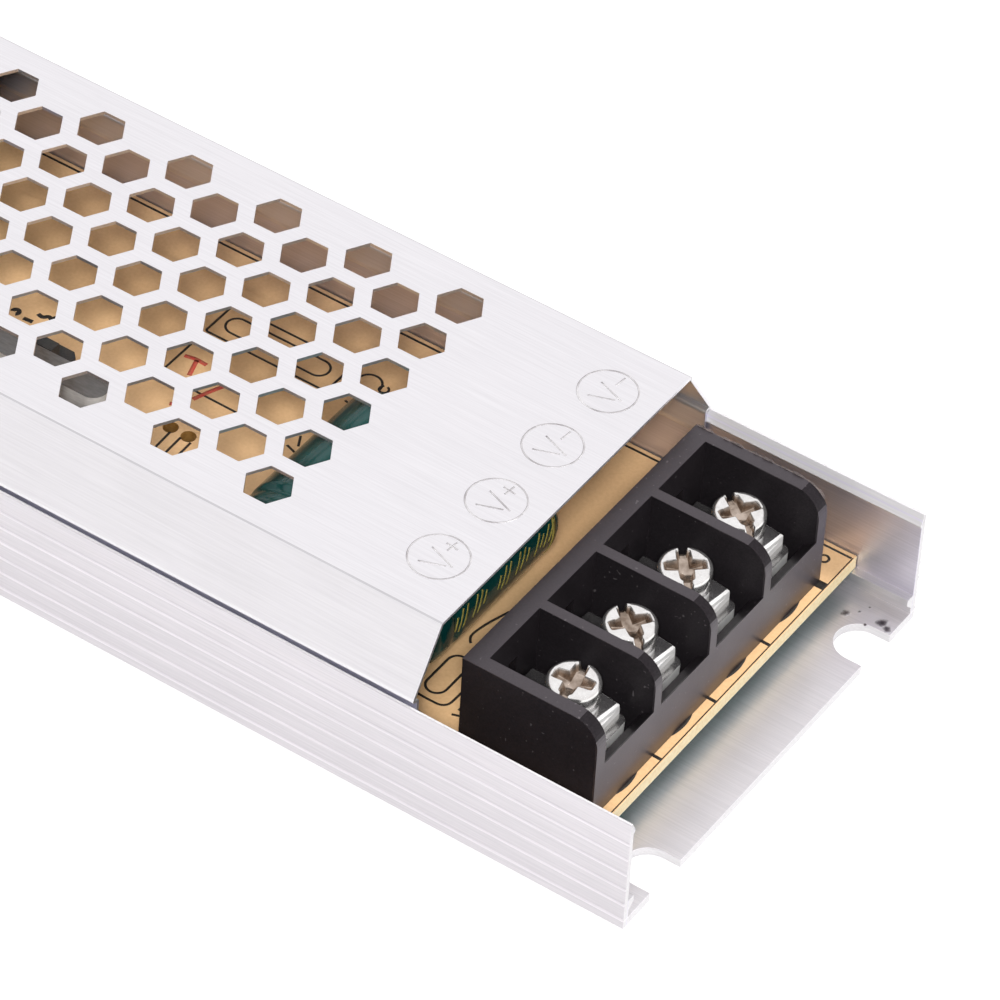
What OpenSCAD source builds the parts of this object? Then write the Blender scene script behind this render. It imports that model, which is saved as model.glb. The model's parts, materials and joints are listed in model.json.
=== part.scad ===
// Slim LED power supply: an extruded channel with a bent honeycomb cover, a circuit board between them
// and a barrier terminal block at each end. Millimetres. X runs along the channel to the output end,
// Y across it, Z up from the underside.

/* [Base channel] */
// Length of the channel from end to end
base_length = 217.5; // [196:0.5:300]
// Width of the channel over its side ridges
base_width = 51.8; // [46.6:0.1:70]
// Height of the channel's side walls
wall_height = 14.1; // [13:0.1:15]
// Thickness of a side wall between its ridges
wall_thickness = 0.6; // [0.5:0.05:1]
// Thickness of the channel's floor
floor_thickness = 1; // [0.8:0.1:1.4]
// Height of the rails that carry the board
rail_height = 3.4; // [3.2:0.1:3.8]
// How far a rail stands in from its wall
rail_reach = 1; // [0.7:0.1:1.5]
// Thickness of a rail
rail_thickness = 0.8; // [0.5:0.1:1.2]
// How far the lip at the top of a wall stands in
lip_reach = 0.25; // [0.2:0.05:0.4]
// Height of the bevel that leads the cover's legs in past the lip
lip_bevel = 1.2; // [0.8:0.1:2]
// Number of ridges along each outer wall
ridge_count = 6; // [3:1:8]
// How far a ridge stands proud of the wall
ridge_depth = 0.15; // [0.1:0.05:0.3]
// Width of a ridge at its foot
ridge_width = 0.5; // [0.3:0.05:0.8]
// Width of the open mounting notches
notch_width = 5.2; // [3.4:0.1:6]
// Depth of a mounting notch from the end of the channel
notch_depth = 4.45; // [3.5:0.05:6]
// Distance between the two notches of one end, centre to centre
notch_spacing = 37.2; // [30:0.1:40]

/* [Top cover] */
// Height from the underside of the channel to the top of the cover
overall_height = 21.7; // [21.5:0.1:30]
// Thickness of the cover's sheet
cover_sheet = 0.4; // [0.3:0.05:0.5]
// Distance from each end of the channel to the end of the cover
cover_setback = 24.7; // [24:0.1:27]
// How far each bend of the flat top stands in from the side of the channel
bend_inset = 4.8; // [4:0.1:8]
// Gap between the cover's shoulder and the top of the wall
cover_gap = 0.1; // [0.1:0.05:0.4]
// How far the legs reach below the lip
leg_foot = 0.6; // [0.4:0.1:1.5]

/* [Vents] */
// Distance between neighbouring vents, centre to centre
vent_pitch = 6.33; // [5.5:0.01:9]
// Width of a vent across its flats
vent_flats = 4.57; // [3:0.01:5]
// Least distance from an end of the cover to the nearest vent's centre
vent_end_margin = 23; // [12:0.5:40]
// Least distance from a bend of the cover to the nearest vent's centre
vent_side_margin = 5; // [3.5:0.1:8]

/* [Circuit board] */
// Thickness of the board
board_thickness = 1.6; // [1:0.1:1.7]
// Distance from each end of the channel to the edge of the board
board_setback = 6.6; // [5.5:0.1:7.5]
// Thickness of the insulation sheet on the floor
sheet_thickness = 0.4; // [0.2:0.1:0.5]

/* [Terminal blocks] */
// Distance between neighbouring terminals
terminal_pitch = 9.5; // [9:0.05:10.2]
// Distance from the end of the channel to the front of a block
block_setback = 7.7; // [7.7:0.1:9]
// Depth of a block from front to back
block_depth = 15.35; // [15:0.05:15.6]
// Height of a block above the board
block_height = 12.2; // [11:0.1:14]
// Thickness of a block's two end walls
end_wall = 1.5; // [1:0.1:2]
// Thickness of the walls between its compartments
divider_wall = 1.2; // [0.8:0.1:1.5]
// Thickness of its back wall
back_wall = 2.05; // [1.5:0.05:2.2]
// Height of its front wall
front_height = 6.35; // [5.5:0.05:7]
// Height of the seats under the contact plates
seat_height = 4; // [3.6:0.1:4.4]
// Radius of the front corners of its walls
corner_radius = 3; // [1:0.1:4]
// Distance from the front of a block to the axes of its screws
screw_inset = 6.5; // [6.2:0.1:6.8]
// Thickness of the contact plates
contact_thickness = 1; // [0.8:0.1:1.2]

/* [Terminal screws] */
// Thread diameter of the terminal screws
screw_thread = 3; // [2.5:0.1:3.2]
// Diameter of a screw's head
head_diameter = 5.4; // [5:0.1:6]
// Height of a screw's head
head_height = 2.5; // [1.8:0.1:3]
// Length of a screw under its head
screw_length = 6.7; // [6.2:0.1:6.9]
// Thickness of the spring washers
washer_thickness = 0.9; // [0.6:0.05:1.1]
// Thickness of the square clamp plates
clamp_thickness = 1; // [0.8:0.05:1.2]
// Width of the square clamp plates
clamp_width = 6.6; // [6:0.1:7]
// Thickness of the smaller square plates on top of them
top_plate_thickness = 0.9; // [0.7:0.05:1]

/* [Output parts] */
// Diameter of the output capacitors
output_can_diameter = 12.5; // [10:0.1:13]
// Length of the output capacitors
output_can_length = 20; // [16:0.5:22]
// Distance from the output end to the axis of the first capacitor
output_can_setback = 35.1; // [34.5:0.1:38]
// Gap between the two output capacitors
output_can_gap = 0.5; // [0.2:0.1:2]
// Length of the output heat sink bar
output_sink_length = 38; // [32:0.5:40]
// Thickness of both heat sink bars
sink_thickness = 3.1; // [2:0.1:3.5]
// Height of both heat sink bars above the board
sink_height = 11; // [10:0.1:13]

/* [Transformer] */
// Width of the transformer core across its legs
core_width = 28; // [26:0.1:30]
// Height of the core's section
core_height = 8.6; // [7:0.1:9]
// Thickness of the winding round its bobbin
winding_depth = 2.2; // [1.5:0.1:2.6]

/* [Mains parts] */
// Diameter of the bulk capacitors
bulk_can_diameter = 15; // [12:0.1:15.2]
// Distance from the mains end to the axis of the first bulk capacitor
bulk_can_setback = 55; // [54.5:0.1:58]
// Length of the switching transistors' heat sink bar
switch_sink_length = 28; // [25:0.5:30]
// Outer diameter of the mains choke's ring core
choke_diameter = 16; // [13:0.1:17]
// Height of the choke's ring core
choke_height = 6.5; // [4:0.1:8]

/* [Hidden] */
$fn = 48;

// Clearances: beside the board, legs to lips, turning fit of a screw, loose fit of a lead, fitted core,
// pieces that all but touch, parts that stand side by side
board_clearance = 0.15;
leg_clearance = 0.1;
screw_fit = 0.06;
lead_fit = 0.15;
core_fit = 0.15;
part_gap = 0.2;
part_air = 0.65;
// Overrun of a cut past the face it opens
cut = 1;

// Channel section, from its outer faces inwards
outer_y = base_width / 2 - ridge_depth;
inner_y = outer_y - wall_thickness;
lip_y = inner_y - lip_reach;
lip_land = 0.15;
lip_height = lip_bevel + lip_land + lip_reach;
wall_crest = 0.3;
rail_root = 0.2;
rail_foot = max(floor_thickness + 0.2, rail_height - rail_thickness - rail_reach + rail_root);
lowest_ridge = 1.25;
highest_ridge = wall_height - 2.6;
ridge_step = (highest_ridge - lowest_ridge) / (ridge_count - 1);
edge_break = 0.1;

// Cover section: outer corners of the bent sheet, from the top bend to the foot of the leg
cover_bend = cover_sheet / 2 + 0.08;
cover_top_width = base_width - 2 * bend_inset;
shoulder_y = outer_y - 0.05;
shoulder_rise = 0.15;
leg_y = lip_y - leg_clearance;
leg_inner_y = leg_y - cover_sheet;
leg_bottom = wall_height - lip_height - leg_foot;
foot_flare = 0.2;
foot_drop = 0.7;
cover_length = base_length - 2 * cover_setback;
cover_half = [
    [cover_top_width / 2, overall_height],
    [shoulder_y, wall_height + cover_gap + shoulder_rise],
    [leg_y, wall_height + cover_gap],
    [leg_y, leg_bottom],
    [leg_y + foot_flare, leg_bottom - foot_drop]];

// Vents stand in staggered columns, a long column at each end of the field
vent_column_step = vent_pitch * sqrt(3) / 2;
vent_columns = 2 * floor((cover_length - 2 * vent_end_margin) / vent_column_step / 2) + 1;
vent_rows = floor((cover_top_width - 2 * vent_side_margin) / vent_pitch) + 1;

// Levels and edges of the board
board_bottom = rail_height;
board_top = board_bottom + board_thickness;
board_length = base_length - 2 * board_setback;
board_width = 2 * (inner_y - board_clearance);
sheet_inset = 6;
lead_tail = 1.4;
lead_diameter = 0.8;

// Places along the channel, measured from the output end and from the mains end, and places across it
// as a share of half the board's width
function from_output(d) = base_length / 2 - d;
function from_mains(d) = d - base_length / 2;
function across(share) = share * board_width / 2;
block_back = block_setback + block_depth;

// Terminals, in the frame of a block: x runs back from its front face, heights count from the board
output_poles = 4;
input_poles = 3;
function pole_y(poles, i) = (i - (poles - 1) / 2) * terminal_pitch;
function block_width(poles) = poles * terminal_pitch - divider_wall + 2 * end_wall;
function inner_wall_y(poles, i) = (i - poles / 2) * terminal_pitch;
front_slope = 1.4;
front_slope_drop = 1.15;
trench_depth = 1.4;
contact_front = 2.15;
contact_width = terminal_pitch - divider_wall - 1.9;
contact_corner = 0.8;
contact_top = seat_height + contact_thickness;
contact_back = block_depth - back_wall - part_gap;
collar_radius = 2.1;
collar_drop = 1.3;
pin_length = 1;
pin_width = 1.4;
pin_inset = contact_back - 1.6;
pin_tip = -board_thickness - lead_tail;
slot_width = 1.4;
slot_top = 8.5;
clamp_top = contact_top + clamp_thickness + top_plate_thickness;
washer_top = clamp_top + washer_thickness;
head_top = washer_top + head_height;
screw_tip = washer_top - screw_length;
screw_radius = screw_thread / 2;
well_floor = screw_tip - 0.3;
plate_edge = 0.25;
plate_sink = 0.1;
top_plate_width = clamp_width - 0.2;
top_plate_turn = -7;
grip_groove = 0.2;
grip_inset = 1.4;
washer_diameter = head_diameter - 0.3;
washer_split = 0.4;
washer_split_turn = 35;

// Output capacitors lie across the board with their leads towards the near wall
output_can_far_y = across(0.222);
output_can_step = output_can_diameter + output_can_gap;
output_can_x = [for (i = [0, 1]) from_output(output_can_setback + i * output_can_step)];
can_lead_spacing = 5;
can_lead_reach = 1.8;
output_can_near_y = output_can_far_y - output_can_length;

// Heat sink bars stand on edge, with the semiconductors against their far faces
output_sink_y = across(-0.406);
switch_sink_y = across(-0.808);
output_sink_start = 0.331 * base_length;
output_sink_x = from_output(output_sink_start + output_sink_length / 2);
switch_sink_gap = 29.45;
switch_sink_start = block_back + switch_sink_gap;
switch_sink_x = from_mains(switch_sink_start + switch_sink_length / 2);
sink_pin = 1.2;
sink_pin_inset = 5;
package_width = 10.2;
package_height = 6.2;
package_depth = 4.5;
package_tab = 1.3;
package_lift = 1;
package_leads = 2.54;
package_lead_set = 1.2;
package_tab_rise = 3.8;
rectifier_inset = 8;
rectifier_x = from_output(output_sink_start + rectifier_inset + package_width / 2);
switch_inset = 1.5;
switch_gap = 2.4;
switch_x = [for (i = [0, 1])
    from_mains(switch_sink_start + switch_inset + package_width / 2 + i * (package_width + switch_gap))];
clip_width = 3.4;
clip_sheet = 0.5;
clip_bend = 0.5;
clip_hook = 4;

// Transformer: a core of two E halves, lying flat, with its winding axis across the board
core_near_y = across(-0.303);
core_far_y = across(0.909);
core_length = core_far_y - core_near_y;
transformer_y = (core_near_y + core_far_y) / 2;
core_leg = 4.4;
core_centre_leg = 9;
core_yoke = 5;
core_air_gap = 0.1;
bobbin_wall = 0.8;
bobbin_flange = 1;
bobbin_lift = 0.6;
window_width = (core_width - core_centre_leg) / 2 - core_leg;
window_length = core_length - 2 * core_yoke;
tube_x = core_centre_leg + 2 * (core_fit + bobbin_wall);
tube_z = core_height + 2 * (core_fit + bobbin_wall);
coil_x = tube_x + 2 * winding_depth;
coil_z = tube_z + 2 * winding_depth;
coil_length = window_length - 2 * (bobbin_flange + core_fit);
transformer_z = board_top + bobbin_lift + coil_z / 2;
bobbin_pins = 4;
bobbin_pin_step = 5;
bobbin_pin_y = (coil_length + bobbin_flange) / 2;

// Mains side, measured from the mains end
bulk_can_far_y = across(0.808);
bulk_can_near_y = across(-0.323);
bulk_can_length = bulk_can_far_y - bulk_can_near_y;
bulk_can_step = bulk_can_diameter + part_air;
bulk_can_x = [for (i = [0, 1]) from_mains(bulk_can_setback + i * bulk_can_step)];
transformer_x = bulk_can_x[1] + bulk_can_diameter / 2 + part_air + core_width / 2;
bridge_gap = 25.45;
bridge_setback = block_back + bridge_gap;
bridge_far_y = bulk_can_near_y - part_air;
bridge_near_y = part_air - leg_inner_y;
bridge_size = [3.6, bridge_far_y - bridge_near_y, 11];
bridge_place = [from_mains(bridge_setback), (bridge_near_y + bridge_far_y) / 2];
bridge_lead_step = 3.8;
choke_wire = 1;
choke_gap = 2.95;
choke_setback = block_back + choke_gap + choke_wire + choke_diameter / 2;
choke_place = [from_mains(choke_setback), across(0.465)];
choke_ring = 3.8;
choke_span = 132;
choke_lift = 0.1;
choke_end_angle = choke_span / 2 - 4;
x_cap_gap = 6.45;
x_cap_setback = block_back + x_cap_gap;
x_cap_place = [from_mains(x_cap_setback), across(-0.343)];
x_cap_size = [6, 13, 11.5];
x_cap_leads = 10;
fuse_place = [from_mains(x_cap_setback), across(-0.808)];
fuse_size = [8.3, 4, 7.7];
fuse_leads = 5;
thermistor_step = 9;
thermistor_setback = x_cap_setback + thermistor_step;
thermistor_place = [from_mains(thermistor_setback), across(-0.485)];
thermistor_diameter = 9;
thermistor_thickness = 4;
y_cap_lead_in = 5;
y_cap_place = [transformer_x + core_width / 2 + y_cap_lead_in, across(0.162)];
y_cap_diameter = 7.5;
y_cap_thickness = 3.4;
disc_leads = 5;
disc_lift = 0.8;
box_radius = 0.8;

// Small dual in-line packages near the side wall, and the board's fixings
dip_width = 6.4;
dip_row = 7.62;
dip_pitch = 2.54;
dip_height = 3.3;
dip_lift = 0.5;
dip_pin = 0.5;
output_fixing_step = 12.4;
output_fixing = output_can_setback + output_can_step + output_fixing_step;
optocoupler_step = 5.5;
optocoupler_setback = output_fixing + optocoupler_step;
controller_step = 12;
controller_setback = optocoupler_setback + controller_step;
mains_fixing_step = 7.5;
mains_fixing = switch_sink_start + switch_sink_length + mains_fixing_step;
optocoupler_place = [from_output(optocoupler_setback), across(-0.727)];
controller_place = [from_output(controller_setback), across(-0.747)];
fixing_inset = 5.5;
fixing_y = fixing_inset - board_width / 2;
fixing_places = [[from_output(output_fixing), fixing_y], [from_mains(mains_fixing), fixing_y]];
spacer_radius = 2.75;
fixing_head_height = 2;
fixing_depth = 3.7;
fixing_brow = 1;
fixing_cross = [3, 0.8];

// Unused holes of a part that this version leaves off the board
spare_hole = 1.6;
spare_step = 2;
spare_place = [from_output(output_sink_start - spare_step), across(-0.032)];
spare_spacing = 2.2;

// Every lead that goes through the board, as [x, y]
function pair_x(place, step) = [for (s = [-1, 1]) [place[0] + s * step / 2, place[1]]];
function pair_y(place, step) = [for (s = [-1, 1]) [place[0], place[1] + s * step / 2]];
function row_y(place, step, n) = [for (i = [0 : n - 1]) [place[0], place[1] + (i - (n - 1) / 2) * step]];
function row_x(place, step, n) = [for (i = [0 : n - 1]) [place[0] + (i - (n - 1) / 2) * step, place[1]]];
function can_leads(x, near_y) = pair_x([x, near_y - can_lead_reach], can_lead_spacing);
function sink_face(bar_y) = bar_y + sink_thickness / 2;
function package_pins(x, bar_y) =
    row_x([x, sink_face(bar_y) + package_tab + package_lead_set], package_leads, 3);
function sink_pins(x, bar_y, length) = pair_x([x, bar_y], length - 2 * sink_pin_inset);
function dip_pins(place, n) =
    [for (s = [-1, 1]) each row_x(place + [0, s * dip_row / 2], dip_pitch, n)];
choke_ends = [for (s = [-1, 1], a = [-1, 1])
    choke_place + (choke_diameter + choke_wire) / 2 * direction(90 * s + a * choke_end_angle)];
bobbin_pin_rows = [for (s = [-1, 1])
    each row_x([transformer_x, transformer_y + s * bobbin_pin_y], bobbin_pin_step, bobbin_pins)];
spare_holes = pair_x(spare_place, spare_spacing);
leads = concat(
    can_leads(output_can_x[0], output_can_near_y), can_leads(output_can_x[1], output_can_near_y),
    can_leads(bulk_can_x[0], bulk_can_near_y), can_leads(bulk_can_x[1], bulk_can_near_y),
    package_pins(rectifier_x, output_sink_y),
    package_pins(switch_x[0], switch_sink_y), package_pins(switch_x[1], switch_sink_y),
    row_y(bridge_place, bridge_lead_step, 4), choke_ends, bobbin_pin_rows,
    pair_y(x_cap_place, x_cap_leads), pair_x(fuse_place, fuse_leads),
    pair_y(thermistor_place, disc_leads), pair_y(y_cap_place, disc_leads),
    dip_pins(optocoupler_place, 2), dip_pins(controller_place, 4));
sink_leads = concat(sink_pins(output_sink_x, output_sink_y, output_sink_length),
    sink_pins(switch_sink_x, switch_sink_y, switch_sink_length));

// Plane geometry
function direction(a) = [cos(a), sin(a)];
function unit(v) = v / norm(v);
function left(v) = [-v[1], v[0]];
function turn(v, a) = [v[0] * cos(a) - v[1] * sin(a), v[0] * sin(a) + v[1] * cos(a)];
function flipped(half) = [for (i = [len(half) - 1 : -1 : 0]) [-half[i][0], half[i][1]]];
function mirrored(half) = concat(half, flipped(half));
function arc(centre, r, a0, a1, n = 6) =
    [for (i = [0 : n]) centre + r * direction(a0 + (a1 - a0) * i / n)];
function rounded(w, h, r) = concat(
    arc([w / 2 - r, h / 2 - r], r, 0, 90), arc([r - w / 2, h / 2 - r], r, 90, 180),
    arc([r - w / 2, r - h / 2], r, 180, 270), arc([w / 2 - r, r - h / 2], r, 270, 360));

// One side of a bent sheet: the path's corners are rounded, and each point is pushed out along its
// normal. The path is the sheet's middle line, so its two sides are that path pushed by plus and minus
// half the gauge.
function bent_corner(a, b, c, r, push, n = 5) =
    let (u = unit(b - a), w = unit(c - b))
    let (angle = atan2(u[0] * w[1] - u[1] * w[0], u * w), side = sign(angle))
    let (start = b - u * r * tan(abs(angle) / 2), centre = start + left(u) * r * side)
    [for (i = [0 : n]) let (normal = turn(left(u), angle * i / n)) centre + normal * (push - r * side)];
function bent_side(path, r, push) = let (last = len(path) - 1) concat(
    [path[0] + left(unit(path[1] - path[0])) * push],
    [for (i = [1 : last - 1]) each bent_corner(path[i - 1], path[i], path[i + 1], r, push)],
    [path[last] + left(unit(path[last] - path[last - 1])) * push]);
function reversed(list) = [for (i = [len(list) - 1 : -1 : 0]) list[i]];
function bent_sheet(path, gauge, r) =
    concat(bent_side(path, r, gauge / 2), reversed(bent_side(path, r, -gauge / 2)));

// A path moved sideways, with mitred corners: turns outer corners into the middle line of a sheet
function shifted(path, by) = let (last = len(path) - 1) [for (i = [0 : last])
    let (n0 = left(unit(path[max(i, 1)] - path[max(i, 1) - 1])),
         n1 = left(unit(path[min(i, last - 1) + 1] - path[min(i, last - 1)])))
    path[i] + (n0 + n1) * by / (1 + n0 * n1)];

// A profile of [y, z] points carried along X, and one of [x, z] points carried along Y
module along_x(length) { rotate([90, 0, 90]) linear_extrude(length, center = true) children(); }
module along_y(length) { rotate([90, 0, 0]) linear_extrude(length, center = true) children(); }

// A round lead from a height above the board down to its solder tail
module lead(place, top, d = lead_diameter) {
    translate([place[0], place[1], board_bottom - lead_tail])
        cylinder(d = d, h = board_thickness + lead_tail + top, $fn = 24);
}

// The extruded channel and its notches
function ridge(z) = [[outer_y, z - ridge_width / 2], [base_width / 2, z - ridge_width / 5],
    [base_width / 2, z + ridge_width / 5], [outer_y, z + ridge_width / 2]];
channel_half = concat(
    [[outer_y, 0]],
    [for (i = [0 : ridge_count - 1]) each ridge(lowest_ridge + i * ridge_step)],
    [[outer_y, wall_height - edge_break], [outer_y - edge_break, wall_height],
     [outer_y - wall_crest, wall_height], [lip_y, wall_height - lip_bevel],
     [lip_y, wall_height - lip_height + lip_reach], [inner_y, wall_height - lip_height],
     [inner_y, rail_height], [inner_y - rail_reach, rail_height],
     [inner_y - rail_reach, rail_height - rail_thickness],
     [inner_y - rail_root, rail_foot], [inner_y - rail_root, floor_thickness]]);

module notch() {
    translate([-notch_depth + notch_width / 2, 0, -cut]) {
        cylinder(d = notch_width, h = floor_thickness + 2 * cut);
        translate([0, -notch_width / 2, 0])
            cube([notch_depth + cut, notch_width, floor_thickness + 2 * cut]);
    }
}

module base_channel() {
    color("silver") difference() {
        along_x(base_length) polygon(mirrored(channel_half));
        for (turned = [0, 180], side = [-1, 1])
            rotate([0, 0, turned]) translate([base_length / 2, side * notch_spacing / 2, 0]) notch();
    }
}

// The bent cover and its honeycomb of vents
module vents() {
    for (c = [0 : vent_columns - 1]) {
        holes = vent_rows - c % 2;
        x = (c - (vent_columns - 1) / 2) * vent_column_step;
        for (k = [0 : holes - 1])
            translate([x, (k - (holes - 1) / 2) * vent_pitch]) circle(r = vent_flats / sqrt(3), $fn = 6);
    }
}

module top_cover() {
    middle_line = shifted(concat(flipped(cover_half), cover_half), -cover_sheet / 2);
    color("gainsboro") difference() {
        along_x(cover_length) polygon(bent_sheet(middle_line, cover_sheet, cover_bend));
        translate([0, 0, overall_height - 2 * cover_sheet]) linear_extrude(3 * cover_sheet) vents();
    }
}

module insulation_sheet() {
    length = board_length - 2 * sheet_inset;
    width = 2 * (inner_y - rail_reach - part_gap);
    color("whitesmoke") translate([0, 0, floor_thickness]) linear_extrude(sheet_thickness) difference() {
        square([length, width], center = true);
        for (p = fixing_places) translate(p) circle(r = spacer_radius + part_gap);
    }
}

// The board, drilled for every lead
module drilled(places, d) {
    for (p = places) translate([p[0], p[1], -cut])
        cylinder(d = d, h = board_thickness + 2 * cut, $fn = 24);
}
module circuit_board() {
    color("burlywood") translate([0, 0, board_bottom]) difference() {
        translate([-board_length / 2, -board_width / 2, 0])
            cube([board_length, board_width, board_thickness]);
        drilled(leads, lead_diameter + 2 * lead_fit);
        drilled(sink_leads, sink_pin + 2 * lead_fit);
        drilled(fixing_places, screw_thread + 2 * lead_fit);
        drilled(spare_holes, spare_hole);
        for (i = [0 : output_poles - 1]) at_output(i) pin_slot(board_thickness);
        for (i = [0 : input_poles - 1]) at_mains(i) pin_slot(board_thickness);
    }
}

// Frames of one terminal at either end: x runs back from the block's front face as negative x
module at_output(i) {
    translate([base_length / 2 - block_setback, pole_y(output_poles, i), 0]) children();
}
module at_mains(i) {
    rotate([0, 0, 180])
        translate([base_length / 2 - block_setback, pole_y(input_poles, i), 0]) children();
}
module pin_slot(depth) {
    translate([-pin_inset - pin_length / 2 - lead_fit, -pin_width / 2 - lead_fit, -cut])
        cube([pin_length + 2 * lead_fit, pin_width + 2 * lead_fit, depth + 2 * cut]);
}

// Barrier block: one trough section across the block, with a round-cornered wall beside each compartment
module trough() {
    polygon([[0, 0], [0, front_height], [-front_slope, front_height - front_slope_drop],
        [-front_slope, seat_height - trench_depth],
        [-contact_front - contact_thickness - part_gap, seat_height - trench_depth],
        [-contact_front - contact_thickness - part_gap, seat_height],
        [-block_depth + back_wall, seat_height], [-block_depth + back_wall, block_height],
        [-block_depth, block_height], [-block_depth, 0]]);
}
module wall_outline() {
    polygon(concat([[0, 0]],
        arc([-corner_radius, block_height - corner_radius], corner_radius, 0, 90, 12),
        [[-block_depth, block_height], [-block_depth, 0]]));
}
module terminal_housing(poles) {
    width = block_width(poles);
    difference() {
        union() {
            along_y(width) trough();
            for (side = [-1, 1]) translate([0, side * (width - end_wall) / 2, 0])
                along_y(end_wall) wall_outline();
            for (i = [1 : poles - 1]) translate([0, inner_wall_y(poles, i), 0])
                along_y(divider_wall) wall_outline();
        }
        for (i = [0 : poles - 1]) translate([0, pole_y(poles, i), 0]) {
            translate([-screw_inset, 0, well_floor])
                cylinder(r = collar_radius + part_gap, h = block_height);
            translate([-block_depth - cut, -slot_width / 2, contact_top])
                cube([back_wall + 2 * cut, slot_width, slot_top - contact_top]);
            pin_slot(seat_height);
        }
    }
}
module output_terminal_housing() {
    color("dimgray") translate([base_length / 2 - block_setback, 0, board_top])
        terminal_housing(output_poles);
}
module input_terminal_housing() {
    color("dimgray") rotate([0, 0, 180]) translate([base_length / 2 - block_setback, 0, board_top])
        terminal_housing(input_poles);
}

// Contact plate with a round-cornered lip in front, a threaded collar under the screw and a pin through
// the board
module contact_outline() {
    side = contact_width / 2;
    corner = [-contact_front - contact_corner, side - contact_corner];
    polygon(concat([[-contact_back, -side]],
        arc([corner[0], -corner[1]], contact_corner, -90, 0), arc(corner, contact_corner, 0, 90),
        [[-contact_back, side]]));
}
module contact() {
    color("gold") translate([0, 0, board_top]) difference() {
        union() {
            intersection() {
                along_y(contact_width) polygon([
                    [-contact_front, seat_height - trench_depth + part_gap], [-contact_front, contact_top],
                    [-contact_back, contact_top], [-contact_back, seat_height],
                    [-contact_front - contact_thickness, seat_height],
                    [-contact_front - contact_thickness, seat_height - trench_depth + part_gap]]);
                linear_extrude(block_height) contact_outline();
            }
            translate([-screw_inset, 0, seat_height - collar_drop])
                cylinder(r = collar_radius, h = collar_drop + contact_thickness / 2);
            translate([-pin_inset - pin_length / 2, -pin_width / 2, pin_tip])
                cube([pin_length, pin_width, seat_height + contact_thickness / 2 - pin_tip]);
        }
        translate([-screw_inset, 0, 0]) cylinder(r = screw_radius + screw_fit, h = block_height);
    }
}

// Square clamp plate with two grip grooves underneath, and the smaller plate on it that has turned a
// little with the screw. Every edge that shows is bevelled.
module clamp_plate() {
    half = clamp_width / 2;
    grip = half - grip_inset;
    edge = [[half, 0], [half, clamp_thickness - plate_edge], [half - plate_edge, clamp_thickness]];
    grooves = [[grip - grip_groove, 0], [grip, grip_groove], [grip + grip_groove, 0]];
    intersection() {
        along_y(clamp_width) polygon(mirrored(concat(grooves, edge)));
        along_x(clamp_width) polygon(mirrored(edge));
    }
}
module top_plate() {
    half = top_plate_width / 2;
    top = top_plate_thickness + plate_sink;
    edge = [[half - plate_edge, 0], [half, plate_edge], [half, top - plate_edge], [half - plate_edge, top]];
    intersection() {
        along_y(top_plate_width) polygon(mirrored(edge));
        along_x(top_plate_width) polygon(mirrored(edge));
    }
}
module clamp() {
    color("lightgray") translate([-screw_inset, 0, board_top + contact_top]) difference() {
        union() {
            clamp_plate();
            translate([0, 0, clamp_thickness - plate_sink]) rotate([0, 0, top_plate_turn]) top_plate();
        }
        translate([0, 0, -cut]) cylinder(r = screw_radius + screw_fit, h = block_height);
    }
}

// Split spring washer, pressed flat
module washer() {
    color("lightgray") translate([-screw_inset, 0, board_top + clamp_top]) difference() {
        cylinder(d = washer_diameter, h = washer_thickness);
        translate([0, 0, -cut]) cylinder(r = screw_radius + screw_fit, h = washer_thickness + 2 * cut);
        rotate([0, 0, washer_split_turn]) translate([0, -washer_split / 2, -cut])
            cube([washer_diameter, washer_split, washer_thickness + 2 * cut]);
    }
}

// Pan-head screw with a cross and a slot
module terminal_screw() {
    head = head_diameter / 2;
    brow = 0.6;
    chamfer = 0.4;
    slot = 0.8;
    slot_depth = 1;
    cross = [3.2, 0.96];
    cross_depth = 1.5;
    color("lightgray") translate([-screw_inset, 0, board_top]) difference() {
        rotate_extrude() polygon(concat(
            [[0, screw_tip], [screw_radius - chamfer, screw_tip], [screw_radius, screw_tip + chamfer],
             [screw_radius, washer_top], [head, washer_top]],
            arc([head - brow, head_top - brow], brow, 0, 90, 4), [[0, head_top]]));
        translate([-head, -slot / 2, head_top - slot_depth]) cube([2 * head, slot, slot_depth + cut]);
        for (a = [0, 90]) rotate([0, 0, a])
            translate([-cross[0] / 2, -cross[1] / 2, head_top - cross_depth])
                cube([cross[0], cross[1], cross_depth + cut]);
    }
}

// Can capacitor lying along Y: crimped groove near its leads, scored far end, two bent leads
module can_capacitor(x, near_y, d, length) {
    r = d / 2;
    rim = 0.7;
    crimp = 0.5;
    crimp_start = 2;
    plug_rim = 1.4;
    score = [1.4 * r, 0.4, 0.2];
    z = board_top + r;
    translate([x, near_y, z]) rotate([-90, 0, 0]) difference() {
        rotate_extrude() polygon(concat(
            [[0, rim], [r - plug_rim, rim], [r - plug_rim, 0], [r - rim, 0]],
            arc([r - rim, rim], rim, -90, 0, 3),
            [[r, crimp_start], [r - crimp, crimp_start + crimp], [r - crimp, crimp_start + 2 * crimp],
             [r, crimp_start + 3 * crimp]],
            arc([r - rim, length - rim], rim, 0, 90, 3), [[0, length]]));
        for (a = [45, 135]) rotate([0, 0, a])
            translate([-score[0] / 2, -score[1] / 2, length - score[2]]) cube([score[0], score[1], cut]);
    }
    for (p = can_leads(x, near_y)) {
        translate([p[0], p[1], z]) rotate([-90, 0, 0])
            cylinder(d = lead_diameter, h = can_lead_reach + 1.5 * rim, $fn = 24);
        translate([p[0], p[1], z]) sphere(d = lead_diameter, $fn = 24);
        lead(p, r);
    }
}

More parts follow.
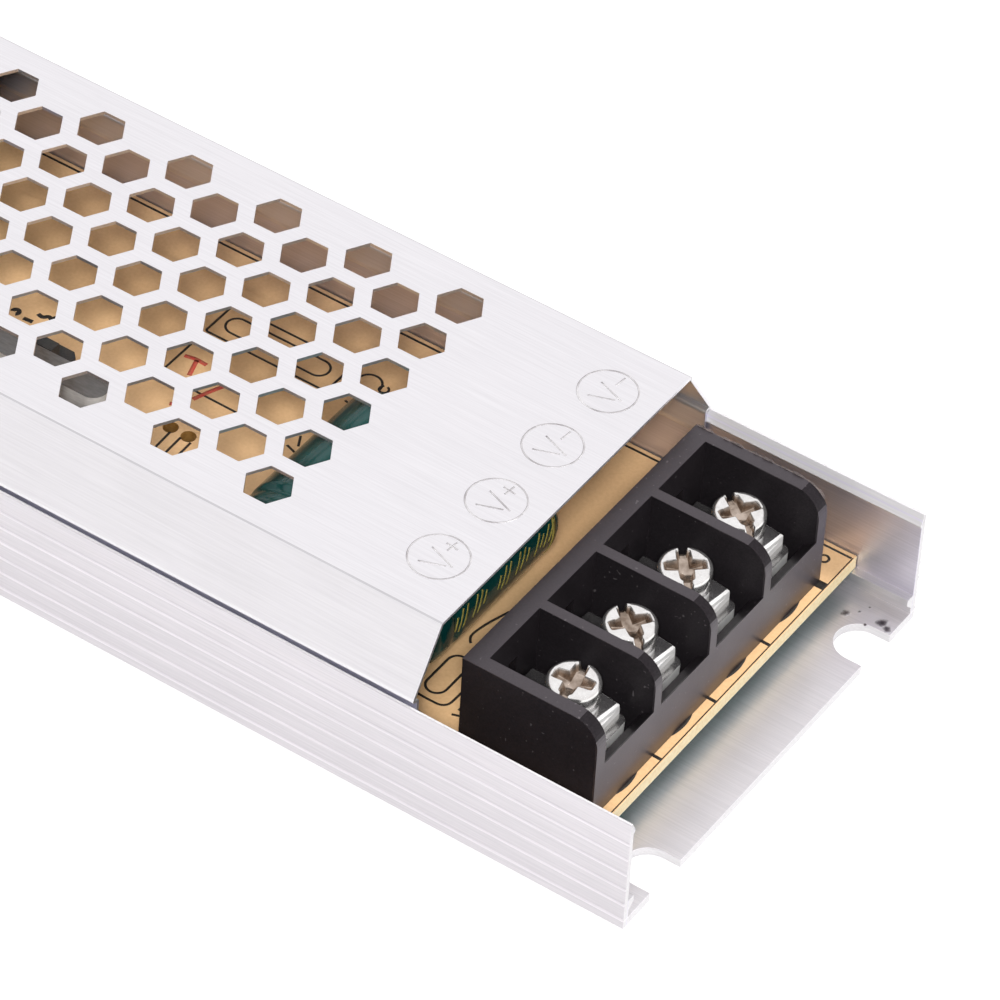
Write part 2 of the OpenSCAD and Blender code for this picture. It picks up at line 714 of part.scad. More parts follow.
// Bar on edge with round ends and two pins into the board
module heat_sink(x, bar_y, length) {
    color("darkgray") {
        translate([x, bar_y, board_top]) linear_extrude(sink_height) union() {
            square([length - sink_thickness, sink_thickness], center = true);
            for (s = [-1, 1]) translate([s * (length - sink_thickness) / 2, 0])
                circle(d = sink_thickness);
        }
        for (p = sink_pins(x, bar_y, length)) lead(p, sink_height / 2, sink_pin);
    }
}

// Power semiconductor: metal back plate, moulded body with a chamfered face, three leads
module power_package(x, bar_y) {
    face = sink_face(bar_y) + part_gap / 2;
    bevel = 0.6;
    color("dimgray") {
        translate([x - package_width / 2, face, board_top + package_lift])
            cube([package_width, package_tab, package_height + package_tab_rise]);
        translate([x, 0, board_top + package_lift]) linear_extrude(package_height) polygon(mirrored([
            [package_width / 2, face + package_tab / 2],
            [package_width / 2, face + package_depth - bevel],
            [package_width / 2 - bevel, face + package_depth]]));
        for (p = package_pins(x, bar_y)) lead(p, package_lift + package_tab);
    }
}

// Spring clips, bent from strip: over the bar's top and down against the package
module heat_sink_clip() {
    near = -sink_thickness / 2 - part_gap;
    far = sink_thickness / 2 + part_gap / 2 + package_depth + part_gap;
    tab_top = package_lift + package_height + package_tab_rise;
    top = board_top + max(sink_height, tab_top) + part_gap;
    press_height = board_top + package_lift + package_height * 0.55;
    path = [[near, top - clip_hook], [near, top + clip_sheet],
        [far + clip_sheet, top + clip_sheet], [far + clip_sheet / 2, press_height]];
    along_x(clip_width) polygon(bent_sheet(shifted(path, clip_sheet / 2), clip_sheet, clip_bend));
}
module heat_sink_clips() {
    color("lightsteelblue") for (x = switch_x) translate([x, switch_sink_y, 0]) heat_sink_clip();
}

// Core of two E halves with a small air gap between them
module transformer_core() {
    color("darkslategray") translate([transformer_x, transformer_y, transformer_z - core_height / 2])
        linear_extrude(core_height) difference() {
            square([core_width, core_length], center = true);
            for (s = [-1, 1]) translate([s * (core_centre_leg + window_width) / 2, 0])
                square([window_width, window_length], center = true);
            square([2 * core_width, core_air_gap], center = true);
        }
}

// Bobbin: a square tube on the centre leg, two flanges, and a row of pins under each
module transformer_bobbin() {
    bore = [core_centre_leg + 2 * core_fit, core_height + 2 * core_fit];
    flange_x = coil_x + 2 * part_gap;
    flange_drop = coil_z / 2 + bobbin_lift;
    color("saddlebrown") {
        translate([transformer_x, transformer_y, transformer_z]) {
            along_y(coil_length) difference() {
                square([tube_x, tube_z], center = true);
                square(bore, center = true);
            }
            for (s = [-1, 1]) translate([0, s * bobbin_pin_y, 0])
                along_y(bobbin_flange) difference() {
                    translate([-flange_x / 2, -flange_drop])
                        square([flange_x, flange_drop + coil_z / 2 + part_gap]);
                    square(bore, center = true);
                }
        }
        for (p = bobbin_pin_rows) lead(p, bobbin_flange);
    }
}

module transformer_winding() {
    color("goldenrod") translate([transformer_x, transformer_y, transformer_z])
        along_y(coil_length) difference() {
            polygon(rounded(coil_x, coil_z, winding_depth));
            square([tube_x, tube_z], center = true);
        }
}

// Ring core lying flat, with a winding on each half
module choke_core() {
    color("darkgreen") translate([choke_place[0], choke_place[1], board_top + choke_lift + choke_wire])
        rotate_extrude() translate([choke_diameter / 2 - choke_ring, 0])
            square([choke_ring, choke_height]);
}
module choke_winding() {
    inner = choke_diameter / 2 - choke_ring;
    color("chocolate") {
        for (s = [-1, 1]) translate([choke_place[0], choke_place[1], board_top + choke_lift])
            rotate([0, 0, 90 * s - choke_span / 2]) rotate_extrude(angle = choke_span) difference() {
                translate([inner - choke_wire, 0])
                    square([choke_ring + 2 * choke_wire, choke_height + 2 * choke_wire]);
                translate([inner - core_fit / 2, choke_wire - core_fit / 2])
                    square([choke_ring + core_fit, choke_height + core_fit]);
            }
        for (p = choke_ends) lead(p, choke_lift + choke_height / 2);
    }
}

// Boxed radial part with rounded sides and leads
module boxed_part(place, size, pins) {
    translate([place[0], place[1], board_top])
        linear_extrude(size[2]) polygon(rounded(size[0], size[1], box_radius));
    for (p = pins) lead(p, box_radius);
}
module x_capacitor() {
    color("khaki") boxed_part(x_cap_place, x_cap_size, pair_y(x_cap_place, x_cap_leads));
}
module fuse() {
    color("black") boxed_part(fuse_place, fuse_size, pair_x(fuse_place, fuse_leads));
}
module bridge_rectifier() {
    color("dimgray") boxed_part(bridge_place, bridge_size, row_y(bridge_place, bridge_lead_step, 4));
}

// Coated disc standing across the channel on two leads
module disc_part(place, d, thickness) {
    bulge = thickness / 2;
    translate([place[0], place[1], board_top + disc_lift + d / 2]) rotate([0, 90, 0]) rotate_extrude()
        polygon(concat([[0, -bulge]], arc([d / 2 - bulge, 0], bulge, -90, 90, 8), [[0, bulge]]));
    for (p = pair_y(place, disc_leads)) lead(p, disc_lift + d / 3);
}
module thermistor() {
    color("darkolivegreen") disc_part(thermistor_place, thermistor_diameter, thermistor_thickness);
}
module y_capacitor() {
    color("royalblue") disc_part(y_cap_place, y_cap_diameter, y_cap_thickness);
}

// Dual in-line package: drafted body, pins bent down into the board
module dip_package(place, n) {
    length = n * dip_pitch + part_gap;
    z = board_top + dip_lift;
    waist = dip_height / 2;
    draft = 0.25;
    translate([place[0], place[1], z]) along_x(length) polygon(mirrored([
        [dip_width / 2 - draft, 0], [dip_width / 2, waist], [dip_width / 2 - draft, dip_height]]));
    for (p = dip_pins(place, n)) {
        lead(p, dip_lift + waist, dip_pin);
        translate([p[0] - dip_pin / 2, min(p[1], place[1]), z + waist - dip_pin / 2])
            cube([dip_pin, dip_row / 2, dip_pin]);
    }
}
module optocoupler() { color("black") dip_package(optocoupler_place, 2); }
module controller_chip() { color("black") dip_package(controller_place, 4); }

// Threaded spacers on the floor, and the screws that hold the board on them
module board_spacers() {
    color("darkgoldenrod") for (p = fixing_places)
        translate([p[0], p[1], floor_thickness]) difference() {
            cylinder(r = spacer_radius, h = board_bottom - floor_thickness);
            translate([0, 0, -cut]) cylinder(r = screw_radius + screw_fit, h = board_bottom + cut);
        }
}
module board_screws() {
    head = head_diameter / 2;
    color("lightgray") for (p = fixing_places) translate([p[0], p[1], board_top]) difference() {
        rotate_extrude() polygon(concat(
            [[0, -fixing_depth], [screw_radius, -fixing_depth], [screw_radius, 0], [head, 0]],
            arc([head - fixing_brow, fixing_head_height - fixing_brow], fixing_brow, 0, 90, 4),
            [[0, fixing_head_height]]));
        for (a = [0, 90]) rotate([0, 0, a])
            translate([-fixing_cross[0] / 2, -fixing_cross[1] / 2, fixing_head_height - fixing_brow])
                cube([fixing_cross[0], fixing_cross[1], fixing_brow + cut]);
    }
}

base_channel();
top_cover();
insulation_sheet();
circuit_board();
output_terminal_housing();
input_terminal_housing();
for (i = [0 : output_poles - 1]) {
    at_output(i) contact();
    at_output(i) clamp();
    at_output(i) washer();
    at_output(i) terminal_screw();
}
for (i = [0 : input_poles - 1]) {
    at_mains(i) contact();
    at_mains(i) clamp();
    at_mains(i) washer();
    at_mains(i) terminal_screw();
}
for (i = [0, 1]) {
    color("darkgreen")
            can_capacitor(output_can_x[i], output_can_near_y, output_can_diameter, output_can_length);
    color("darkslateblue")
            can_capacitor(bulk_can_x[i], bulk_can_near_y, bulk_can_diameter, bulk_can_length);
    power_package(switch_x[i], switch_sink_y);
}
heat_sink(output_sink_x, output_sink_y, output_sink_length);  // output_heat_sink
heat_sink(switch_sink_x, switch_sink_y, switch_sink_length);  // switch_heat_sink
power_package(rectifier_x, output_sink_y);  // output_rectifier
heat_sink_clips();
transformer_core();
transformer_bobbin();
transformer_winding();
bridge_rectifier();
choke_core();
choke_winding();
x_capacitor();
y_capacitor();
fuse();
thermistor();
optocoupler();
controller_chip();
board_spacers();
board_screws();
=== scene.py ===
import bpy
import json
import math
import numpy as np
from mathutils import Matrix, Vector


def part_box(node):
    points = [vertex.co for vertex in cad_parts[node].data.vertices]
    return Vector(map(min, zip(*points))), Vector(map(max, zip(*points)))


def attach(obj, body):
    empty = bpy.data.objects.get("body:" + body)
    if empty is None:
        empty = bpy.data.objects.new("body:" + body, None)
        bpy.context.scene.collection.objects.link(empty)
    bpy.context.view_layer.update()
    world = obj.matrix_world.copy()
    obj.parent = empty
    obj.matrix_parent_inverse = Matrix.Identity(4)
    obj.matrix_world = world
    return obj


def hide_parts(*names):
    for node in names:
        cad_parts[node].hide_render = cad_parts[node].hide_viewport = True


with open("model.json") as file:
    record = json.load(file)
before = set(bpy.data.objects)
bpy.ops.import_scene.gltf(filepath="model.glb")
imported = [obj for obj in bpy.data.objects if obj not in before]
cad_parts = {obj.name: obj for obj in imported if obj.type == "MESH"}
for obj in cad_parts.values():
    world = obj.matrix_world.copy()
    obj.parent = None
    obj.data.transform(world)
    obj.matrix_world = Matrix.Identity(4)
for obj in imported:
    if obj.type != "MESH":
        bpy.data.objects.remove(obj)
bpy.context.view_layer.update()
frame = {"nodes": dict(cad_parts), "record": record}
nodes = frame["nodes"]
slotOf = {part["node"]: part["material_slot"] for part in frame["record"]["subparts"]}
mm = 0.001
rng = np.random.default_rng(11)
print("frame loaded:", len(nodes), "nodes")


# places and sizes are read in millimetres from the boxes of the CAD pieces
def boxOf(nodeName):
    return [np.array(corner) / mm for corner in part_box(nodeName)]


boardTop = boxOf("circuit_board")[1][2]
coverTop = boxOf("top_cover")[1][2]
poles = dict(output=4, input=3)
terminals = []
for end, count in poles.items():
    for number in range(1, count + 1):
        low, high = boxOf(f"{end}_screw_{number}")
        x, y = (low[:2] + high[:2]) / 2
        terminals.append(dict(end=end, number=number, x=x, y=y))


# shader helpers: sockets take either a plain value or another node's output
def setInputs(tree, made, values):
    for key, value in values.items():
        if isinstance(value, bpy.types.NodeSocket):
            tree.links.new(value, made.inputs[key])
        else:
            made.inputs[key].default_value = value


def addNode(tree, kind, values, out=0, **settings):
    made = tree.nodes.new(kind)
    for key, value in settings.items():
        setattr(made, key, value)
    setInputs(tree, made, values)
    return made.outputs[out]


def newMaterial(name):
    made = bpy.data.materials.new(name)
    made.use_nodes = True
    tree = made.node_tree
    return made, tree, tree.nodes["Principled BSDF"]


def rgba(colour):
    return (*colour, 1.0)


def mapped(tree, value, low, high, toLow, toHigh):
    return addNode(tree, "ShaderNodeMapRange", {
        "Value": value, "From Min": low, "From Max": high, "To Min": toLow, "To Max": toHigh})


def mixed(tree, factor, a, b, blend="MIX"):
    return addNode(tree, "ShaderNodeMix", {0: factor, 6: a, 7: b}, out=2, data_type="RGBA", blend_type=blend)


# the third value is read by a comparison only: how far apart two values may lie
def maths(tree, operation, a, b=0.0, c=0.5):
    return addNode(tree, "ShaderNodeMath", {0: a, 1: b, 2: c}, operation=operation)


def objectPoint(tree, stretch=(1, 1, 1), shift=(0, 0, 0)):
    point = addNode(tree, "ShaderNodeTexCoord", {}, out="Object")
    return addNode(tree, "ShaderNodeMapping", {"Vector": point, "Scale": stretch, "Location": shift})


noiseRoughness = 0.55
noiseRange = (0.3, 0.7)  # where most of a noise lies


def noiseAt(tree, scale, stretch=(1, 1, 1), detail=3.0, shift=(0, 0, 0)):
    return addNode(tree, "ShaderNodeTexNoise", {
        "Vector": objectPoint(tree, stretch, shift), "Scale": scale, "Detail": detail,
        "Roughness": noiseRoughness})


def spread(tree, noise, toLow=0.0, toHigh=1.0):
    return mapped(tree, noise, *noiseRange, toLow, toHigh)


# two tones, mixed by a noise
def speckled(tree, noise, dark, light):
    return mixed(tree, spread(tree, noise), rgba(dark), rgba(light))


def bumped(tree, height, strength, depth):
    return addNode(tree, "ShaderNodeBump", {"Height": height, "Strength": strength, "Distance": depth})


def zoneOf(tree):
    return addNode(tree, "ShaderNodeAttribute", {}, out="Fac", attribute_name="zone")


alongX, alongY, alongZ = (1, 0, 0), (0, 1, 0), (0, 0, 1)


# how far a point lies from the middle of the part along a direction, the same on both sides
def distance(tree, direction):
    away = addNode(tree, "ShaderNodeVectorMath", {0: objectPoint(tree)}, operation="ABSOLUTE")
    return addNode(tree, "ShaderNodeVectorMath", {0: away, 1: direction}, out="Value", operation="DOT_PRODUCT")


# 1 where that distance is more than a limit in millimetres, and 0 elsewhere
def beyond(tree, direction, limit):
    return maths(tree, "GREATER_THAN", distance(tree, direction), limit * mm)


# 1 within half a width of one of the places given in millimetres, and 0 elsewhere
def within(tree, direction, half, places):
    inside = 0.0
    for place in places:
        here = maths(tree, "COMPARE", distance(tree, direction), place * mm, half * mm)
        inside = maths(tree, "MAXIMUM", here, inside)
    return inside


# a finish: two tones mixed by a noise that may be stretched into brush lines, with its own roughness and
# grain. bands tint layers of the piece, and most of those in use are painted light and shade. dust is the
# colour of fine specks, dull makes the inside of the walls' lips less of a mirror, and sheen makes the outer
# faces beyond x and z glossier
plainFinish = dict(stretch=(1, 1, 1), detail=4.0, patch=0.06, cloud=120, bands=[], metal=0.0, specular=0.5,
                   tint=(1.0, 1.0, 1.0), coat=0.0, coatRough=0.12, bump=0.1, depth=0.00005)
dustShape = dict(scale=2600, start=0.80, full=0.84, strength=0.45)


def dustSpecks(tree, shape):
    grit = noiseAt(tree, shape["scale"], detail=0.0, shift=(2, 5, 1))
    return mapped(tree, grit, shape["start"], shape["full"], 0.0, shape["strength"])


def finish(name, spec):
    spec = {**plainFinish, **spec}
    made, tree, bsdf = newMaterial(name)
    grain = noiseAt(tree, spec["scale"], spec["stretch"], spec["detail"])
    cloud = noiseAt(tree, spec["cloud"], shift=(3, 1, 2))
    colour = speckled(tree, grain, spec["dark"], spec["light"])
    colour = mixed(tree, 1.0, colour, spread(tree, cloud, 1.0 - spec["patch"], 1.0), "MULTIPLY")
    for band in spec["bands"]:
        inside = within(tree, band["across"], band["half"], [band["at"]])
        colour = mixed(tree, inside, colour, rgba(band["gain"]), "MULTIPLY")
    if "dust" in spec:
        colour = mixed(tree, dustSpecks(tree, dustShape), colour, rgba(spec["dust"]))
    metal, specular = spec["metal"], spec["specular"]
    if "dull" in spec:
        high = beyond(tree, alongZ, spec["dull"]["z"])
        inner = maths(tree, "SUBTRACT", 1.0, beyond(tree, alongY, spec["dull"]["y"]))
        metal = mapped(tree, maths(tree, "MULTIPLY", high, inner), 0.0, 1.0, metal, spec["dull"]["metal"])
    if "sheen" in spec:
        front, high = beyond(tree, alongX, spec["sheen"]["x"]), beyond(tree, alongZ, spec["sheen"]["z"])
        specular = mapped(tree, maths(tree, "MAXIMUM", front, high), 0.0, 1.0, specular, 1.0)
    setInputs(tree, bsdf, {
        "Base Color": colour, "Roughness": spread(tree, cloud, *spec["rough"]), "Metallic": metal,
        "Specular IOR Level": specular, "Specular Tint": rgba(spec["tint"]),
        "Coat Weight": spec["coat"], "Coat Roughness": spec["coatRough"],
        "Normal": bumped(tree, grain, spec["bump"], spec["depth"])})
    return made


brushed = (0.02, 1, 1)
finishes = {
    "extruded_aluminium": dict(
        light=(0.82, 0.80, 0.815), dark=(0.72, 0.705, 0.72), stretch=brushed, scale=5200, metal=0.88,
        rough=(0.36, 0.44), bump=0.12, depth=0.00003, patch=0.03, dull=dict(z=12.8, y=25.68, metal=0.2),
        # painted light and shade: floor lightened, outer faces darkened a little, crests lightened as
        # highlights
        bands=[dict(across=alongZ, at=1.0, half=0.05, gain=(1.22, 1.21, 1.22)),  # floor
               dict(across=alongY, at=25.82, half=0.12, gain=(0.98, 0.96, 0.98)),  # outer faces
               dict(across=alongY, at=25.89, half=0.06, gain=(1.18, 1.18, 1.18)),  # crests of the ridges
               dict(across=alongY, at=25.15, half=0.05, gain=(0.98, 0.96, 1.06))]),  # inner faces
    "sheet_aluminium": dict(
        light=(0.93, 0.915, 0.935), dark=(0.85, 0.835, 0.855), stretch=brushed, scale=6000, metal=0.9,
        rough=(0.33, 0.40), bump=0.14, depth=0.00002, patch=0.02,
        # painted shade: the bends darkened into thin lines, the legs darkened and blued, in shade under the
        # shoulders
        bands=[dict(across=alongY, at=21.05, half=0.09, gain=(0.74, 0.74, 0.74)),  # bends
               dict(across=alongZ, at=12.7, half=1.5, gain=(0.90, 0.92, 1.03))]),  # legs
    "insulating_film": dict(light=(0.88, 0.87, 0.82), dark=(0.80, 0.79, 0.73), scale=900, rough=(0.4, 0.55)),
    "black_moulding": dict(
        light=(0.022, 0.0185, 0.021), dark=(0.013, 0.011, 0.0125), scale=5200, detail=2.0,
        rough=(0.32, 0.42), bump=0.2, depth=0.00003, patch=0.2, specular=0.14,
        # the purple-grey tint of the sheen is a painted reflection of the pale channel floor that the faces
        # mirror
        sheen=dict(x=100.85, z=17.1), tint=(1.0, 0.9, 0.97), dust=(0.16, 0.145, 0.15)),
    "semiconductor_moulding": dict(light=(0.045, 0.044, 0.043), dark=(0.026, 0.025, 0.025), scale=4200,
                                   rough=(0.5, 0.65), bump=0.3),
    "spring_steel": dict(light=(0.66, 0.66, 0.66), dark=(0.50, 0.50, 0.51), scale=2600, metal=1.0,
                         rough=(0.26, 0.4)),
    "ferrite": dict(light=(0.085, 0.083, 0.083), dark=(0.050, 0.049, 0.050), scale=3000, rough=(0.6, 0.75),
                    bump=0.4),
    "bobbin_moulding": dict(light=(0.055, 0.045, 0.038), dark=(0.032, 0.026, 0.022), scale=2600,
                            rough=(0.4, 0.55)),
    "winding_tape": dict(light=(0.80, 0.62, 0.09), dark=(0.66, 0.48, 0.05), scale=900, stretch=(1, 0.15, 1),
                         rough=(0.18, 0.3), bump=0.25, coat=0.3),
    "enamelled_copper": dict(light=(0.56, 0.22, 0.07), dark=(0.38, 0.13, 0.04), scale=1400, metal=0.8,
                             rough=(0.22, 0.36)),
    "film_box": dict(light=(0.76, 0.55, 0.07), dark=(0.66, 0.45, 0.05), scale=1500, rough=(0.35, 0.5)),
    "blue_coating": dict(light=(0.05, 0.16, 0.44), dark=(0.03, 0.10, 0.32), scale=1300, rough=(0.4, 0.55),
                         bump=0.3),
    "green_coating": dict(light=(0.07, 0.13, 0.06), dark=(0.04, 0.08, 0.035), scale=1300, rough=(0.4, 0.55),
                          bump=0.3),
    "fuse_moulding": dict(light=(0.050, 0.048, 0.046), dark=(0.032, 0.030, 0.029), scale=2600,
                          rough=(0.38, 0.5)),
    "spacer_brass": dict(light=(0.74, 0.56, 0.26), dark=(0.58, 0.42, 0.17), scale=2000, metal=1.0,
                         rough=(0.28, 0.42)),
}
materials = {slot: finish(slot, spec) for slot, spec in finishes.items()}


# the board: tan lacquer above, cream laminate at its edges, brown in its drilled holes, green below
boardLook = dict(
    top=((0.74, 0.465, 0.235), (0.81, 0.525, 0.275)), edge=((0.88, 0.68, 0.36), (0.97, 0.82, 0.50)),
    hole=((0.34, 0.17, 0.045), (0.46, 0.25, 0.075)), under=((0.008, 0.10, 0.085), (0.016, 0.17, 0.14)),
    topFrom=4.97, underTo=3.50, rimInset=0.3, weave=2600, cloud=90, rough=(0.32, 0.42), specular=0.9,
    bump=0.1, depth=0.00003)


def boardMaterial(look):
    made, tree, bsdf = newMaterial("board_laminate")
    weave = noiseAt(tree, look["weave"], detail=2.0)
    cloud = noiseAt(tree, look["cloud"], shift=(1, 4, 2))
    tone = {zone: speckled(tree, weave, *look[zone]) for zone in ("top", "edge", "hole", "under")}
    rim = boxOf("circuit_board")[1] - look["rimInset"]
    outside = maths(tree, "MAXIMUM", beyond(tree, alongX, rim[0]), beyond(tree, alongY, rim[1]))
    colour = mixed(tree, outside, tone["hole"], tone["edge"])
    colour = mixed(tree, beyond(tree, alongZ, look["topFrom"]), colour, tone["top"])
    colour = mixed(tree, beyond(tree, alongZ, look["underTo"]), tone["under"], colour)
    setInputs(tree, bsdf, {
        "Base Color": colour, "Roughness": spread(tree, cloud, *look["rough"]),
        "Specular IOR Level": look["specular"], "Normal": bumped(tree, weave, look["bump"], look["depth"])})
    return made


materials["board_laminate"] = boardMaterial(boardLook)


# rolled metal with sheared sides: the level tops at the heights in tops are mirror-like, with darker tones
# painted in as shade from the dark walls they mirror; the sides and the rounded edges are more matt, with
# paler tones painted in as light
plateThickness = 1.0
clampLow, clampHigh = boxOf("output_clamp_1")
rolledLook = dict(topHalf=0.03, stretch=(0.3, 1, 1), bump=0.15, depth=0.00005)
rolledMetals = {
    "bar_aluminium": dict(
        # the bar's very dark top is painted shade from the cover's underside it mirrors; its pale sides painted
        # light
        level=((0.17, 0.165, 0.16), (0.24, 0.235, 0.23)), side=((0.62, 0.59, 0.56), (0.78, 0.75, 0.72)),
        levelMetal=0.9, sideMetal=0.25, rough=(0.30, 0.42), scale=3600,
        tops=[boxOf("output_heat_sink")[1][2]]),
    "tinned_brass": dict(
        level=((0.66, 0.65, 0.64), (0.76, 0.75, 0.74)), side=((0.90, 0.885, 0.87), (0.97, 0.955, 0.94)),
        levelMetal=0.95, sideMetal=0.15, rough=(0.16, 0.26), scale=1800, tops=[clampLow[2]]),
    "plated_steel": dict(
        level=((0.66, 0.65, 0.645), (0.76, 0.75, 0.745)), side=((0.92, 0.905, 0.89), (0.98, 0.965, 0.955)),
        levelMetal=0.95, sideMetal=0.15, rough=(0.14, 0.24), scale=1500,
        tops=[clampLow[2] + plateThickness, clampHigh[2], boxOf("output_washer_1")[1][2]])}


def rolledMaterial(name, spec, look):
    made, tree, bsdf = newMaterial(name)
    grain = noiseAt(tree, spec["scale"], look["stretch"])
    level, side = (speckled(tree, grain, *spec[key]) for key in ("level", "side"))
    top = within(tree, alongZ, look["topHalf"], spec["tops"])
    setInputs(tree, bsdf, {
        "Base Color": mixed(tree, top, side, level),
        "Metallic": mapped(tree, top, 0.0, 1.0, spec["sideMetal"], spec["levelMetal"]),
        "Roughness": spread(tree, grain, *spec["rough"]),
        "Normal": bumped(tree, grain, look["bump"], look["depth"])})
    return made


materials.update({name: rolledMaterial(name, spec, rolledLook) for name, spec in rolledMetals.items()})


# bright plating of the screws, with brown painted shade down in the recess for the shade there and the brown
# board it mirrors: zone is the share of the recess's depth
screwLook = dict(bright=((0.80, 0.78, 0.76), (0.94, 0.93, 0.91)),
                 paintedRecessShade=((0.22, 0.155, 0.11), (0.56, 0.46, 0.38)),
                 wear=1500, blotch=650, blotchRange=(0.35, 0.65), paintedShadeRange=(0.06, 0.4), paintedShadeShare=0.95,
                 rough=(0.14, 0.26), metal=0.92)


def screwMaterial(look):
    made, tree, bsdf = newMaterial("screw_plating")
    wear = noiseAt(tree, look["wear"])
    blotch = mapped(tree, noiseAt(tree, look["blotch"], shift=(2, 2, 5)), *look["blotchRange"], 0.0, 1.0)
    # the recess's brown tones are painted shade and painted reflection of the board, mixed in by depth
    paintedRecessShade = mixed(tree, blotch, *map(rgba, look["paintedRecessShade"]))
    sunk = mapped(tree, zoneOf(tree), *look["paintedShadeRange"], 0.0, look["paintedShadeShare"])
    setInputs(tree, bsdf, {
        "Base Color": mixed(tree, sunk, speckled(tree, wear, *look["bright"]), paintedRecessShade),
        "Roughness": spread(tree, wear, *look["rough"]), "Metallic": look["metal"]})
    return made


materials["screw_plating"] = screwMaterial(screwLook)


# a shrink sleeve: zone 0 is the printed film, 1 the bare metal top, 2 the rubber bung, 3 the tinned leads
sleeveLook = dict(films={"green_sleeve": ((0.003, 0.045, 0.043), (0.006, 0.075, 0.068)),
                         "dark_sleeve": ((0.016, 0.016, 0.028), (0.030, 0.030, 0.048))},
                  top=(0.72, 0.71, 0.70), bung=(0.025, 0.023, 0.022), leads=(0.70, 0.69, 0.67),
                  wrinkle=420, stretch=(1, 0.12, 1), rough=(0.12, 0.26), bump=0.35, depth=0.0001)


def sleeveMaterial(name, look):
    made, tree, bsdf = newMaterial(name)
    zone = zoneOf(tree)
    wrinkle = noiseAt(tree, look["wrinkle"], look["stretch"])
    metal = maths(tree, "COMPARE", zone, 1.0)
    bung, lead = maths(tree, "GREATER_THAN", zone, 1.5), maths(tree, "GREATER_THAN", zone, 2.5)
    colour = mixed(tree, metal, speckled(tree, wrinkle, *look["films"][name]), rgba(look["top"]))
    colour = mixed(tree, bung, colour, rgba(look["bung"]))
    colour = mixed(tree, lead, colour, rgba(look["leads"]))
    setInputs(tree, bsdf, {
        "Base Color": colour, "Metallic": maths(tree, "MAXIMUM", metal, lead),
        "Roughness": spread(tree, wrinkle, *look["rough"]),
        "Normal": bumped(tree, wrinkle, look["bump"], look["depth"])})
    return made


materials.update({name: sleeveMaterial(name, sleeveLook) for name in sleeveLook["films"]})
for nodeName, part in nodes.items():
    part.data.materials.clear()
    part.data.materials.append(materials[slotOf[nodeName]])
print("finishes:", len(materials))


# edges of the CAD pieces are broken a little, as real ones are
edgeShape = dict(weld=0.000002, segments=3, angle=40.0)
plateEdges = dict(clamp=0.22, contact=0.2)
edgeWidths = {"output_terminal_housing": 0.18, "input_terminal_housing": 0.18, "circuit_board": 0.05,
              "base_channel": 0.06, "top_cover": 0.05, "output_heat_sink": 0.35, "switch_heat_sink": 0.35}
for kind, width in plateEdges.items():
    edgeWidths.update({f"{t['end']}_{kind}_{t['number']}": width for t in terminals})


def breakEdges(nodeName, width, shape):
    part = nodes[nodeName]
    weld = part.modifiers.new("weld", "WELD")
    weld.merge_threshold = shape["weld"]
    bevel = part.modifiers.new("bevel", "BEVEL")
    bevel.width = width * mm
    bevel.segments = shape["segments"]
    bevel.limit_method = "ANGLE"
    bevel.angle_limit = math.radians(shape["angle"])
    bevel.harden_normals = True


for nodeName, width in edgeWidths.items():
    breakEdges(nodeName, width, edgeShape)


# surfaces: grids of points in millimetres, whose last column joins the first
def gridFaces(rows, columns):
    ids = np.arange(rows * columns).reshape(rows, columns)
    ids = np.hstack([ids, ids[:, :1]])
    corners = [ids[:-1, :-1], ids[1:, :-1], ids[1:, 1:], ids[:-1, 1:]]
    return np.stack(corners, axis=-1).reshape(-1, 4)


# points that fall together at seams and poles are joined, and the faces turned outward by the enclosed volume
def addPiece(spec, grids, zones=None):
    points, faces, start = [], [], 0
    for grid in grids:
        spots = grid.reshape(-1, 3)
        quads = gridFaces(*grid.shape[:2])
        a, b, c, d = (spots[quads[:, k]] - spots.mean(0) for k in range(4))
        volume = (np.cross(a, b) * c).sum() + (np.cross(a, c) * d).sum()
        points.append(spots)
        faces.append((quads if volume >= 0 else quads[:, ::-1]) + start)
        start += len(spots)
    points, faces = np.vstack(points), np.vstack(faces)
    _, kept, joined = np.unique(points.round(5), axis=0, return_index=True, return_inverse=True)
    faces = joined.reshape(-1)[faces]
    doubled = faces == np.roll(faces, -1, axis=1)
    whole, folded = doubled.sum(1) == 0, doubled.sum(1) == 1
    triangles = faces[folded][~doubled[folded]].reshape(-1, 3)
    mesh = bpy.data.meshes.new(spec["name"])
    mesh.from_pydata((points[kept] * mm).tolist(), [], faces[whole].tolist() + triangles.tolist())
    mesh.polygons.foreach_set("use_smooth", np.full(len(mesh.polygons), spec.get("smooth", True)))
    if zones is not None:
        layer = mesh.attributes.new("zone", "FLOAT", "POINT")
        values = np.concatenate([zone.reshape(-1) for zone in zones])[kept]
        layer.data.foreach_set("value", values.astype(np.float32))
    mesh.materials.append(spec["material"])
    mesh.update()
    piece = bpy.data.objects.new(spec["name"], mesh)
    bpy.context.scene.collection.objects.link(piece)
    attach(piece, spec["body"])
    if "replaces" in spec:
        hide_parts(*spec["replaces"])


def unit(v):
    return v / np.linalg.norm(v, axis=-1, keepdims=True)


def circle(radius, count):
    a = np.linspace(0, 2 * np.pi, count, endpoint=False)
    return np.stack([radius * np.cos(a), radius * np.sin(a)], -1)


# 0 to 1 across a width about zero, level at both ends
def smoothStep(offset, width):
    t = np.clip(offset / width + 0.5, 0, 1)
    return t * t * (3 - 2 * t)


# both ends of a grid are closed by a row that falls together in the middle of its neighbour
def capped(grid):
    ends = [np.repeat(row.mean(1, keepdims=True), grid.shape[1], axis=1) for row in (grid[:1], grid[-1:])]
    return np.concatenate([ends[0], grid, ends[1]])


